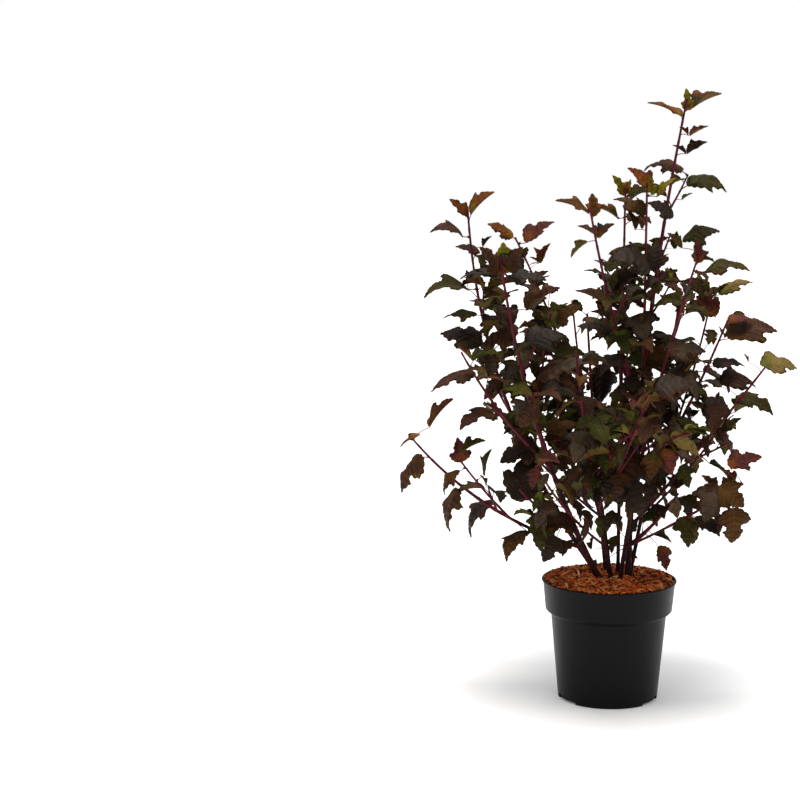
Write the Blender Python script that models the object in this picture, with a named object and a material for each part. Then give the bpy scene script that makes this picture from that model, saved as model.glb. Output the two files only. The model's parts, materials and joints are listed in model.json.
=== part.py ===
"""A potted ninebark: a purple-leaved flowering shrub of many canes in a black nursery pot.

Metres, +Z up. The origin is the middle of the pot's flat underside, and -Y is the plant's front.
Each cane is a bare limb from a flat cut at ground level, and goes on as the stem of a foliage mass.
"""

import math
import random
from collections import namedtuple

import bmesh
import bpy
from mathutils import Vector
from mathutils.bvhtree import BVHTree
from mathutils.kdtree import KDTree

# Pot: a 6 litre nursery pot of 23 cm with a deep collar
POT_HEIGHT = 0.206
BASE_RADIUS = 0.085
SHOULDER_RADIUS, SHOULDER_HEIGHT = 0.0985, 0.146
COLLAR_RADIUS, COLLAR_HEIGHT = 0.108, 0.154
RIM_RADIUS = 0.115
LIP_WIDTH, LIP_HEIGHT = 0.0022, 0.003
WALL = 0.002
POT_SIDES = 36
DRAINS = 3
DRAIN_ARC = math.radians(36)
DRAIN_HEIGHT, DRAIN_DEPTH = 0.008, 0.014
FIRST_DRAIN = math.radians(-27)

# Soil and bark mulch
BALL_TOP = 0.188
GROUND = 0.2035
MULCH_EDGE = 0.2
FLAT_RADIUS = 0.062
MULCH_BUMP = 0.0022

CLEARANCE = 0.0003
SAG = 0.00025
FLARE_HEIGHT = 0.016
GOLDEN_TURN = math.radians(137.5)

# Leaf sizes, from the youngest at a shoot's tip to the full-grown ones below
SMALL_LEAF, LARGE_LEAF = 0.047, 0.084
GROWN_AT = 0.12
SMALL_GAP, LARGE_GAP = 0.013, 0.028
PETIOLE_SHARE = 0.27
PETIOLE_RADIUS = 0.001
LEAF_THICKNESS = 0.014
TIP_RADIUS = 0.0013
TWIG_RADIUS = 0.0015
MULCH_CLEAR = 0.03
LEAF_SPARE = 0.01

# A leaf's outline from its base to its tip, as shares of its length: along the midrib, and out to one side
SIDE_LOBE = (0.27, 0.39)
SINUS = (0.58, 0.25)
HEART = 0.42
FOLD = 0.35

# Below this height the leaves hang, and fully so lower down by the depth
HANG_TOP, HANG_DEPTH = 0.55, 0.24

# A shoot: where it starts (a foot on the ground, or a parent and a share of its length), where its tip is,
# how far its middle bows outwards, and the bare share of its length. Its girth is the foot's radius.
Shoot = namedtuple("Shoot", "name root tip bow bare girth", defaults=(0.0,))

SHOOTS = [
    # Canes that rise from the ground
    Shoot("left_front", (-0.017, 0.003), (-0.184, -0.125, 0.765), 0.09, 0.43, 0.0056),
    Shoot("left_back", (-0.017, 0.026), (-0.250, 0.060, 0.835), 0.15, 0.39, 0.0044),
    Shoot("back_left", (0.001, 0.036), (-0.172, 0.130, 0.780), -0.11, 0.42, 0.0038),
    Shoot("leader", (0.032, 0.014), (0.117, 0.020, 1.020), -0.04, 0.48, 0.0052),
    Shoot("back_centre", (0.015, 0.050), (0.018, 0.130, 0.870), -0.03, 0.32, 0.0034),
    Shoot("right_front", (0.019, -0.004), (0.140, -0.105, 0.780), -0.06, 0.36, 0.0038),
    Shoot("back_right", (0.035, 0.036), (0.125, 0.215, 0.730), 0.04, 0.39, 0.0036),
    Shoot("far_back", (-0.006, 0.058), (-0.050, 0.235, 0.700), 0.05, 0.36, 0.0034),
    Shoot("front", (0.004, 0.014), (-0.060, -0.205, 0.640), 0.06, 0.38, 0.0034),
    # Side branches of the canes on the left
    Shoot("low_left", ("left_front", 0.11), (-0.335, -0.075, 0.460), 0.15, 0.42),
    Shoot("low_left_twig", ("low_left", 0.38), (-0.255, -0.125, 0.440), 0.04, 0.0),
    Shoot("crossing", ("left_front", 0.26), (0.040, -0.160, 0.500), 0.05, 0.30),
    Shoot("mid_left", ("left_front", 0.38), (-0.246, -0.130, 0.610), 0.08, 0.22),
    Shoot("inner_left", ("left_back", 0.32), (-0.105, 0.020, 0.660), -0.04, 0.0),
    Shoot("low_back_left", ("back_left", 0.16), (-0.215, 0.175, 0.480), 0.08, 0.30),
    Shoot("back_twig", ("back_left", 0.36), (-0.075, 0.165, 0.690), 0.03, 0.0),
    Shoot("under_left", ("left_front", 0.18), (-0.150, -0.110, 0.380), 0.10, 0.0),
    # Side branches of the canes on the right
    Shoot("centre_front", ("leader", 0.36), (-0.040, -0.100, 0.845), 0.05, 0.0),
    Shoot("upper_right", ("leader", 0.43), (0.052, -0.066, 0.885), 0.08, 0.0),
    Shoot("right", ("leader", 0.15), (0.193, 0.035, 0.650), 0.04, 0.42),
    Shoot("right_twig", ("right", 0.38), (0.170, 0.130, 0.680), 0.06, 0.0),
    Shoot("far_right", ("leader", 0.11), (0.258, -0.070, 0.595), 0.02, 0.45),
    Shoot("far_right_twig", ("far_right", 0.41), (0.245, 0.030, 0.470), 0.05, 0.0),
    Shoot("low_right", ("right_front", 0.10), (0.215, -0.130, 0.400), 0.03, 0.35),
    Shoot("mid_right", ("right_front", 0.28), (0.125, -0.180, 0.490), -0.20, 0.15),
    Shoot("under_right", ("leader", 0.07), (0.120, -0.020, 0.370), 0.08, 0.0),
    # Side branches at the back and the front
    Shoot("low_back_right", ("back_right", 0.18), (0.215, 0.180, 0.480), 0.08, 0.30),
    Shoot("low_back", ("far_back", 0.18), (-0.070, 0.290, 0.450), 0.09, 0.30),
    Shoot("mid_back", ("back_right", 0.34), (0.050, 0.260, 0.560), 0.05, 0.0),
    Shoot("low_front", ("front", 0.16), (-0.120, -0.195, 0.435), 0.09, 0.30),
    Shoot("mid_front", ("front", 0.33), (0.060, -0.225, 0.560), 0.05, 0.0),
]

Leaf = namedtuple("Leaf", "root base direction side up length arch")


# Materials


def material(name, colour, roughness):
    made = bpy.data.materials.new(name)
    made.use_nodes = True
    shader = made.node_tree.nodes["Principled BSDF"]
    shader.inputs["Base Color"].default_value = (*colour, 1.0)
    shader.inputs["Roughness"].default_value = roughness
    shader.inputs["Metallic"].default_value = 0.0
    made.diffuse_color = (*colour, 1.0)
    return made


def new_object(name, bm, surface):
    """An object made from bm, which is freed."""
    mesh = bpy.data.meshes.new(name)
    bm.to_mesh(mesh)
    bm.free()
    made = bpy.data.objects.new(name, mesh)
    made.data.materials.append(surface)
    bpy.context.scene.collection.objects.link(made)
    return made


def object_from_faces(name, points, faces, surface):
    mesh = bpy.data.meshes.new(name)
    mesh.from_pydata(points, [], faces)
    made = bpy.data.objects.new(name, mesh)
    made.data.materials.append(surface)
    bpy.context.scene.collection.objects.link(made)
    return made


# Pot, root ball and mulch


def turned(name, profile, surface):
    """A solid of revolution about Z whose profile starts and ends on the axis."""
    bm = bmesh.new()
    corners = [bm.verts.new((radius, 0, height)) for radius, height in profile]
    edges = [bm.edges.new(pair) for pair in zip(corners, corners[1:])]
    bmesh.ops.spin(
        bm,
        geom=corners + edges,
        cent=(0, 0, 0),
        axis=(0, 0, 1),
        angle=2 * math.pi,
        steps=POT_SIDES,
        use_merge=True,
    )
    bmesh.ops.remove_doubles(bm, verts=bm.verts, dist=1e-6)
    bmesh.ops.recalc_face_normals(bm, faces=bm.faces)
    return new_object(name, bm, surface)


def outer_profile():
    """The pot's outside from its foot to its lip."""
    lip_foot = POT_HEIGHT - LIP_HEIGHT
    return [
        (BASE_RADIUS, 0.0),
        (SHOULDER_RADIUS, SHOULDER_HEIGHT),
        (COLLAR_RADIUS, COLLAR_HEIGHT),
        (RIM_RADIUS - LIP_WIDTH, lip_foot),
        (RIM_RADIUS, lip_foot),
        (RIM_RADIUS, POT_HEIGHT),
    ]


def inner_profile():
    """The pot's inside from its floor to its lip."""
    return [
        (BASE_RADIUS - WALL, WALL),
        (SHOULDER_RADIUS - WALL, SHOULDER_HEIGHT + WALL / 2),
        (COLLAR_RADIUS - WALL, COLLAR_HEIGHT + WALL / 2),
        (RIM_RADIUS - LIP_WIDTH - WALL, POT_HEIGHT),
    ]


def filling_profile(low, high):
    """The profile of what fills the pot between two heights, clear of its wall."""
    inside = inner_profile()

    def radius_at(height):
        for (r0, z0), (r1, z1) in zip(inside, inside[1:]):
            if z0 <= height <= z1:
                return r0 + (r1 - r0) * (height - z0) / (z1 - z0) - CLEARANCE
        return inside[0][0] - CLEARANCE

    heights = [low] + [z for _, z in inside if low < z < high] + [high]
    return [(radius_at(z), z) for z in heights]


def drain_cutter(angle):
    """A wedge that takes one drain notch out of the corner between wall and floor."""
    bm = bmesh.new()
    radii = (BASE_RADIUS - DRAIN_DEPTH, BASE_RADIUS + DRAIN_DEPTH)
    steps = [angle + DRAIN_ARC * (i / 4 - 0.5) for i in range(5)]
    outline = [(radii[0], a) for a in steps] + [(radii[1], a) for a in reversed(steps)]
    corners = [bm.verts.new((r * math.cos(a), r * math.sin(a), -DRAIN_HEIGHT)) for r, a in outline]
    face = bm.faces.new(corners)
    raised = bmesh.ops.extrude_face_region(bm, geom=[face])["geom"]
    lift = Vector((0, 0, 2 * DRAIN_HEIGHT))
    bmesh.ops.translate(bm, vec=lift, verts=[v for v in raised if isinstance(v, bmesh.types.BMVert)])
    bmesh.ops.recalc_face_normals(bm, faces=bm.faces)
    return bm


def make_pot(surface):
    pot = turned("pot", [(0, 0)] + outer_profile() + inner_profile()[::-1] + [(0, WALL)], surface)
    for i in range(DRAINS):
        angle = FIRST_DRAIN + i * 2 * math.pi / DRAINS
        cutter = new_object(f"drain_cutter_{i}", drain_cutter(angle), surface)
        cutter.hide_render = True
        cutter.display_type = "WIRE"
        cut = pot.modifiers.new(f"drain_{i}", "BOOLEAN")
        cut.operation = "DIFFERENCE"
        cut.solver = "EXACT"
        cut.object = cutter
    return pot


def make_root_ball(surface):
    low = WALL + CLEARANCE
    return turned("root_ball", [(0, low)] + filling_profile(low, BALL_TOP) + [(0, BALL_TOP)], surface)


def make_mulch(surface):
    """A disc of bark: flat in the middle where the canes stand, and lumpy and a little lower round them."""
    low = BALL_TOP + CLEARANCE
    side = filling_profile(low, MULCH_EDGE)
    edge = side[-1][0]
    rings = [FLAT_RADIUS + (edge - FLAT_RADIUS) * share for share in (0, 0.38, 0.72)]
    profile = [(0, low)] + side + [(radius, GROUND) for radius in reversed(rings)] + [(0, GROUND)]
    mulch = turned("bark_mulch", profile, surface)
    rng = random.Random(3)
    for vertex in mulch.data.vertices:
        radius = vertex.co.xy.length
        if vertex.co.z >= MULCH_EDGE - CLEARANCE and radius > FLAT_RADIUS + CLEARANCE:
            outward = (radius - FLAT_RADIUS) / (edge - FLAT_RADIUS)
            vertex.co.z = GROUND + (MULCH_EDGE - GROUND) * outward + rng.uniform(-1, 1) * MULCH_BUMP
    return mulch


# Paths, and tubes along them


class Path:
    """A curve from root to tip whose middle bows outwards and down by a share of its length."""

    def __init__(self, root, tip, bow, stands=False):
        self.stands = stands
        chord = tip - root
        level = Vector((chord.x, chord.y, 0))
        outward = level.normalized() if level.length > 1e-6 else Vector((1, 0, 0))
        sideways = outward * chord.z - Vector((0, 0, level.length))
        self.root, self.tip = root, tip
        self.knee = (root + tip) / 2 + sideways * bow
        self.across = outward.cross(Vector((0, 0, 1)))
        self.length = sum((self.at((i + 1) / 16) - self.at(i / 16)).length for i in range(16))
        self.curving = math.sqrt(abs(bow) * self.length / (2 * SAG))

    def at(self, share):
        rest = 1 - share
        return self.root * rest * rest + self.knee * 2 * rest * share + self.tip * share * share

    def along(self, share):
        """The direction of growth at a share of the length."""
        return ((self.knee - self.root) * (1 - share) + (self.tip - self.knee) * share).normalized()


def tube(path, start, end, radius_at, sides):
    """Points and faces of a closed tube along part of a path, in pieces as long as its curve allows."""
    pieces = max(2, math.ceil((end - start) * path.curving))
    shares = [start + (end - start) * i / pieces for i in range(pieces + 1)]
    if path.stands and start == 0:
        shares.insert(1, FLARE_HEIGHT / path.length)
    count = len(shares)
    points, faces = [], []
    for share in shares:
        over = path.across.cross(path.along(share))
        for k in range(sides):
            turn = 2 * math.pi * k / sides
            reach = path.across * math.cos(turn) + over * math.sin(turn)
            point = path.at(share) + reach * radius_at(share)
            if path.stands and share == 0:
                point += path.along(0) * (path.root.z - point.z) / path.along(0).z
            points.append(point)
    for i in range(count - 1):
        for k in range(sides):
            a, b = i * sides + k, i * sides + (k + 1) % sides
            faces.append((a, a + sides, b + sides, b))
    faces.append(tuple(range(sides)))
    faces.append(tuple(reversed(range((count - 1) * sides, count * sides))))
    return points, faces


class Branch:
    """A shoot with its path and its thickness worked out."""

    def __init__(self, shoot, parent):
        self.shoot, self.parent = shoot, parent
        if parent:
            share = shoot.root[1]
            root = parent.path.at(share)
            self.girth = min(0.0042, parent.radius_at(share) * 0.7)
        else:
            root = Vector((*shoot.root, GROUND + CLEARANCE))
            self.girth = shoot.girth
        self.path = Path(root, Vector(shoot.tip), shoot.bow, stands=not parent)

    def radius_at(self, share):
        """The radius tapers to the tip, and a cane has a root flare at the ground."""
        flare = 0.0
        if not self.parent:
            flare = 0.4 * self.girth * max(0.0, 1 - share * self.path.length / FLARE_HEIGHT) ** 2
        return TIP_RADIUS + (self.girth - TIP_RADIUS) * (1 - share) + flare


# Leaves


def blade_normal(leaf, along):
    """Which way the blade's upper side faces at a share of the midrib's length."""
    bend = leaf.arch * along
    return leaf.up * math.cos(bend) + leaf.direction * math.sin(bend)


def leaf_point(leaf, along, aside):
    """A point of the blade: the midrib arches down and the two halves fold up from it."""
    bend = leaf.arch * along
    reach = leaf.length / leaf.arch
    midrib = leaf.base + leaf.direction * reach * math.sin(bend) - leaf.up * reach * (1 - math.cos(bend))
    width = aside * leaf.length
    return midrib + leaf.side * width + blade_normal(leaf, along) * abs(width) * FOLD


def leaf_solid(leaf, spare=0.0):
    """Points and faces of one leaf: a petiole from a point in its stem, and a thin three-lobed blade.

    A spare share makes the blade wider and thicker, to keep leaves that far apart.
    """
    side = leaf.side
    over = (leaf.base - leaf.root).normalized().cross(side)
    points = [leaf.root]
    points += [leaf.base + reach * PETIOLE_RADIUS for reach in (side, -side, over * -1.2)]
    wide = 1 + 8 * spare
    outline = [SIDE_LOBE, SINUS, (1.0, 0.0)]
    points += [leaf_point(leaf, along, aside * wide) for along, aside in outline]
    points += [leaf_point(leaf, along, -aside * wide) for along, aside in outline[1::-1]]
    heart = leaf_point(leaf, HEART, 0.0)
    half = blade_normal(leaf, HEART) * leaf.length * (LEAF_THICKNESS / 2 + spare)
    points += [heart + half, heart - half]
    edge = [1, 4, 5, 6, 7, 8, 2]
    top, bottom = 9, 10
    faces = [(0, 2, 1), (0, 3, 2), (0, 1, 3)]
    faces += [(top, b, a) for a, b in zip(edge, edge[1:])] + [(top, 1, 2)]
    faces += [(bottom, a, b) for a, b in zip(edge, edge[1:])] + [(bottom, 2, 3), (bottom, 3, 1)]
    return points, faces


def leaf_on(path, share, turn, age, size, tilt, roll):
    """The leaf at a share of a path's length, turned about it. Age is 0 at the tip and 1 when grown."""
    root = path.at(share)
    along = path.along(share)
    over = path.across.cross(along)
    outward = path.across * math.cos(turn) + over * math.sin(turn)
    petiole = (along * (0.95 - 0.35 * age) + outward).normalized()
    base = root + petiole * (size * PETIOLE_SHARE)
    level = Vector((petiole.x, petiole.y, 0))
    if level.length < 0.15:
        level = Vector((outward.x, outward.y, 0.0))
    level.normalize()
    hanging = min(1.0, max(0.0, (HANG_TOP - root.z) / HANG_DEPTH)) * age
    droop = tilt - math.radians(46) * hanging
    direction = level * math.cos(droop) + Vector((0, 0, math.sin(droop)))
    flat = Vector((0, 0, 1)).cross(level)
    side = flat * math.cos(roll) + direction.cross(flat) * math.sin(roll)
    arch = math.radians(34 + 24 * age)
    return Leaf(root, base, direction, side, direction.cross(side), size, arch)


# Growth


class Obstacles:
    """Everything that a new leaf or twig has to stay clear of."""

    def __init__(self):
        self.items = []

    def add(self, owner, points, faces):
        middle = sum(points, Vector()) / len(points)
        radius = max((p - middle).length for p in points)
        self.items.append((owner, middle, radius, BVHTree.FromPolygons(points, faces)))

    def meets(self, points, faces, ignored=()):
        middle = sum(points, Vector()) / len(points)
        radius = max((p - middle).length for p in points)
        shape = None
        for owner, other, reach, tree in self.items:
            if owner in ignored or (other - middle).length > radius + reach:
                continue
            shape = shape or BVHTree.FromPolygons(points, faces)
            if tree.overlap(shape):
                return True
        return False


def leaf_stations(length):
    """Distances back from a stem's tip at which leaves stand, wider apart below."""
    distance, found = 0.004, []
    while distance < length - 0.006:
        found.append(distance)
        grown = min(1.0, distance / GROWN_AT)
        distance += SMALL_GAP + (LARGE_GAP - SMALL_GAP) * grown
    return found


class Mass:
    """One mass of foliage: a stem, its twigs, and leaves by a seeded rule."""

    def __init__(self, branch, index):
        self.branch = branch
        self.name = "foliage_" + branch.shoot.name
        self.rng = random.Random(100 + index)
        self.start = branch.shoot.bare
        if self.start:
            self.start += CLEARANCE / branch.path.length
        self.axes = [(branch.path, self.start)]
        self.parts = []

    def grow_twigs(self, obstacles):
        """A short twig at every third leaf of the lower stem."""
        path = self.branch.path
        leafy = path.length * (1 - self.start)
        for i, distance in enumerate(leaf_stations(leafy)):
            if i % 3 or distance < 0.12:
                continue
            share = 1 - distance / path.length
            length = self.rng.uniform(0.05, 0.09)
            for attempt in range(6):
                turn = GOLDEN_TURN * i + attempt * 1.1
                twig = self.twig_at(path, share, turn, length)
                points, faces = tube(twig, 0, 1, lambda _: TWIG_RADIUS, 3)
                if not obstacles.meets(points, faces, (self.name,)):
                    obstacles.add(self.name, points, faces)
                    self.axes.append((twig, 0.15))
                    self.parts.append((points, faces))
                    break

    def twig_at(self, path, share, turn, length):
        along = path.along(share)
        over = path.across.cross(along)
        outward = path.across * math.cos(turn) + over * math.sin(turn)
        root = path.at(share)
        tip = root + (outward + along * 0.9 + Vector((0, 0, 0.5))).normalized() * length
        return Path(root, tip, 0.04)

    def grow_leaves(self, obstacles, nearest_owner):
        for order, (path, start) in enumerate(self.axes):
            phase = self.rng.uniform(0, 2 * math.pi)
            for i, distance in enumerate(leaf_stations(path.length * (1 - start))):
                self.try_leaf(path, distance, phase + GOLDEN_TURN * i, order, obstacles, nearest_owner)

    def try_leaf(self, path, distance, turn, order, obstacles, nearest_owner):
        """Adds one leaf, turned or made smaller until it fits its space, or none."""
        age = min(1.0, (distance + 0.03 * order) / GROWN_AT)
        grown = SMALL_LEAF + (LARGE_LEAF - SMALL_LEAF) * age
        size = grown * self.rng.uniform(0.82, 1.08)
        tilt = math.radians(50 - 44 * age + self.rng.uniform(-14, 14))
        roll = math.radians(self.rng.uniform(-22, 22))
        share = 1 - distance / path.length
        for attempt in range(10):
            swing = (attempt + 1) // 2 * math.radians(24) * (1 if attempt % 2 else -1)
            smaller = 1 - 0.035 * attempt
            leaf = leaf_on(path, share, turn + swing, age, size * smaller, tilt - 0.05 * attempt, roll)
            points, faces = leaf_solid(leaf, LEAF_SPARE)
            if min(p.z for p in points) < GROUND + MULCH_CLEAR:
                continue
            if nearest_owner(leaf_point(leaf, HEART, 0.0)) != self.name:
                continue
            petiole_faces, blade_faces = faces[:3], faces[3:]
            if obstacles.meets(points, blade_faces) or obstacles.meets(points[:4], petiole_faces, (self.name,)):
                continue
            obstacles.add(self.name, points, blade_faces)
            self.parts.append(leaf_solid(leaf))
            return


def grow(branches):
    """The foliage masses of all shoots. Stems come first, then twigs, then leaves from the top down."""
    obstacles = Obstacles()
    masses = [Mass(branch, i) for i, branch in enumerate(branches.values())]
    for branch in branches.values():
        if branch.shoot.bare:
            obstacles.add("limb", *tube(branch.path, 0, branch.shoot.bare, branch.radius_at, 6))
    for mass in masses:
        points, faces = tube(mass.branch.path, mass.start, 1, mass.branch.radius_at, 3)
        obstacles.add(mass.name, points, faces)
    for mass in masses:
        mass.grow_twigs(obstacles)
    spine = [
        (path.at(start + (1 - start) * i / 12), mass.name)
        for mass in masses
        for path, start in mass.axes
        for i in range(13)
    ]
    tree = KDTree(len(spine))
    for i, (point, _) in enumerate(spine):
        tree.insert(point, i)
    tree.balance()

    def nearest_owner(point):
        return spine[tree.find(point)[1]][1]

    for mass in sorted(masses, key=lambda m: -m.branch.path.tip.z):
        mass.grow_leaves(obstacles, nearest_owner)
    return masses


# Limbs and masses as objects


def cut_clear(obj, branch):
    """Cuts the root of obj clear of the limb that it grows on."""
    parent = branch.parent

    def wider(share):
        return parent.radius_at(share) + 1.6 * CLEARANCE

    sides = 6 if parent.parent else 8
    around = tube(parent.path, 0, parent.shoot.bare, wider, sides)
    cutter = object_from_faces("cutter", *around, obj.data.materials[0])
    apply_boolean(obj, "DIFFERENCE", cutter)
    bpy.data.objects.remove(cutter)


def apply_boolean(obj, operation, operand, solver="EXACT"):
    """Applies one Boolean to obj. The operand is an object or a collection of them."""
    step = obj.modifiers.new(operation.lower(), "BOOLEAN")
    step.operation = operation
    step.solver = solver
    if isinstance(operand, bpy.types.Collection):
        step.operand_type = "COLLECTION"
        step.collection = operand
    else:
        step.object = operand
    graph = bpy.context.evaluated_depsgraph_get()
    graph.update()
    made = bpy.data.meshes.new_from_object(obj.evaluated_get(graph))
    obj.modifiers.clear()
    obj.data = made


def is_closed(mesh):
    """True when every edge lies between just two faces."""
    bm = bmesh.new()
    bm.from_mesh(mesh)
    closed = all(edge.is_manifold for edge in bm.edges)
    bm.free()
    return closed


def keep_main_body(mesh):
    """Drops the scraps, and fills the sealed hollows, that a union can leave."""
    bm = bmesh.new()
    bm.from_mesh(mesh)
    left, bodies = set(bm.faces), []
    while left:
        body, found = [], [left.pop()]
        while found:
            face = found.pop()
            body.append(face)
            near = {other for edge in face.edges for other in edge.link_faces} & left
            left -= near
            found.extend(near)
        bodies.append(body)
    bodies.sort(key=len)
    for body in bodies[:-1]:
        bmesh.ops.delete(bm, geom=body, context="FACES")
    bm.to_mesh(mesh)
    bm.free()


def make_limb(branch, surface):
    """The bare part of a shoot: a cane from the ground, or a bough from its cane."""
    kind = "bough_" if branch.parent else "stem_"
    sides = 6 if branch.parent else 8
    shape = tube(branch.path, 0, branch.shoot.bare, branch.radius_at, sides)
    limb = object_from_faces(kind + branch.shoot.name, *shape, surface)
    if branch.parent:
        cut_clear(limb, branch)
    limb.data.shade_smooth()
    return limb


def make_mass(mass, surface):
    """A mass as one solid: its stem, with every twig and leaf joined on by one Boolean union."""
    branch = mass.branch
    stem = object_from_faces(mass.name, *tube(branch.path, mass.start, 1, branch.radius_at, 3), surface)
    if not mass.start:
        cut_clear(stem, branch)
    pieces = bpy.data.collections.new(mass.name + "_pieces")
    bpy.context.scene.collection.children.link(pieces)
    for i, (points, faces) in enumerate(mass.parts):
        mesh = bpy.data.meshes.new(f"piece_{i}")
        mesh.from_pydata(points, [], faces)
        pieces.objects.link(bpy.data.objects.new(f"piece_{i}", mesh))
    alone = stem.data
    apply_boolean(stem, "UNION", pieces)
    if not is_closed(stem.data):
        stem.data = alone
        apply_boolean(stem, "UNION", pieces, "MANIFOLD")
    keep_main_body(stem.data)
    for piece in list(pieces.objects):
        bpy.data.objects.remove(piece)
    bpy.data.collections.remove(pieces)
    return stem


def make_branches():
    branches = {}
    for shoot in SHOOTS:
        parent = branches[shoot.root[0]] if isinstance(shoot.root[0], str) else None
        branches[shoot.name] = Branch(shoot, parent)
    return branches


def main():
    for obj in list(bpy.data.objects):
        bpy.data.objects.remove(obj)
    plastic = material("pot_plastic", (0.016, 0.016, 0.018), 0.45)
    soil = material("soil", (0.035, 0.022, 0.014), 0.95)
    bark = material("bark_chips", (0.24, 0.075, 0.022), 0.9)
    wood = material("stem_bark", (0.075, 0.014, 0.018), 0.6)
    leaf = material("leaf", (0.042, 0.020, 0.016), 0.55)
    make_pot(plastic)
    make_root_ball(soil)
    make_mulch(bark)
    branches = make_branches()
    for branch in branches.values():
        if branch.shoot.bare:
            make_limb(branch, wood)
    for mass in grow(branches):
        make_mass(mass, leaf)


main()
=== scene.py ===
"""The potted ninebark as it looks in the photograph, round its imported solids.

The canes, twigs and leaves grow by the same seeded rule as the solids do, with finer shapes.
"""

import json
import math
import random
from collections import namedtuple

import bmesh
import bpy
import numpy as np
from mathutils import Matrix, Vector, noise
from mathutils.bvhtree import BVHTree
from mathutils.kdtree import KDTree

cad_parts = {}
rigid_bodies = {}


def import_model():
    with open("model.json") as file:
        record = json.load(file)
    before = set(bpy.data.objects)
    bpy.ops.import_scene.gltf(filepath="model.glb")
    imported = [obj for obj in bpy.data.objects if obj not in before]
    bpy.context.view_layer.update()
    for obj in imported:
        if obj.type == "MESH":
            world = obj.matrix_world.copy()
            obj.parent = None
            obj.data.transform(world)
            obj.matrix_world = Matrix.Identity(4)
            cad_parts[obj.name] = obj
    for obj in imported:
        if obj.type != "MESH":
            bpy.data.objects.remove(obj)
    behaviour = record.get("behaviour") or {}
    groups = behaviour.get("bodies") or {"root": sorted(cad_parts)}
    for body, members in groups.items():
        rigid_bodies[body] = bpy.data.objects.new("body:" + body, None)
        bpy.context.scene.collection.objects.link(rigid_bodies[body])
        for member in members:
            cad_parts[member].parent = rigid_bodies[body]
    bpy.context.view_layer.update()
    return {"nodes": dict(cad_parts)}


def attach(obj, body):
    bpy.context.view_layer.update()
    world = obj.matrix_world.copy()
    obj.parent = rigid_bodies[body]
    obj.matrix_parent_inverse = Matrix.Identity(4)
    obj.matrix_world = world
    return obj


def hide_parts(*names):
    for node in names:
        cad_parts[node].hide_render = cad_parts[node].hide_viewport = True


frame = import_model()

# Camera, at the photograph's viewing angle, and the photograph's width in pixels
CAMERA_PLACE = Vector((0.0, -3.5, 1.036))
CAMERA_YAW, CAMERA_PITCH = math.radians(5.874), math.radians(8.506)
CAMERA_LENS, SENSOR = 93.64, 36.0
PICTURE = 800
FOCAL = CAMERA_LENS / SENSOR * PICTURE
AHEAD = Vector((
    -math.sin(CAMERA_YAW) * math.cos(CAMERA_PITCH),
    math.cos(CAMERA_YAW) * math.cos(CAMERA_PITCH),
    -math.sin(CAMERA_PITCH),
))
ACROSS = AHEAD.cross(Vector((0, 0, 1))).normalized()
UPWARDS = ACROSS.cross(AHEAD)

# The edge of the open sky round the plant, in pixels
SKYLINE = [
    (684, 86), (700, 97), (722, 94), (694, 113), (696, 126), (710, 125), (709, 142), (685, 168),
    (716, 179), (726, 195), (715, 185), (695, 185), (681, 201), (685, 213), (676, 217), (676, 228),
    (707, 225), (722, 235), (713, 241), (712, 256), (747, 269), (756, 282), (727, 292), (723, 313),
    (776, 330), (759, 333), (752, 352), (797, 369), (765, 366), (747, 376), (775, 418), (744, 408),
    (730, 436), (737, 453), (762, 456), (739, 478), (747, 486), (748, 512), (741, 544), (708, 533),
    (667, 566), (646, 550), (638, 557), (642, 566), (558, 566), (538, 563), (543, 546), (532, 537),
    (507, 563), (512, 521), (499, 516), (482, 526), (478, 539), (463, 520), (452, 534), (443, 518),
    (446, 498), (438, 480), (446, 467), (440, 460), (423, 460), (402, 493), (399, 487), (408, 458),
    (399, 448), (441, 404), (431, 391), (458, 350), (440, 340), (442, 320), (469, 302), (458, 291),
    (423, 301), (434, 283), (467, 266), (464, 252), (453, 249), (453, 235), (428, 234), (461, 220),
    (448, 199), (496, 191), (476, 210), (474, 224), (511, 222), (520, 230), (555, 220), (542, 233),
    (553, 240), (556, 258), (566, 261), (584, 239), (575, 228), (583, 217), (574, 204), (554, 201),
    (592, 192), (605, 202), (616, 192), (611, 173), (671, 158), (672, 146), (685, 137), (680, 120),
    (646, 104), (675, 102),
]

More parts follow.
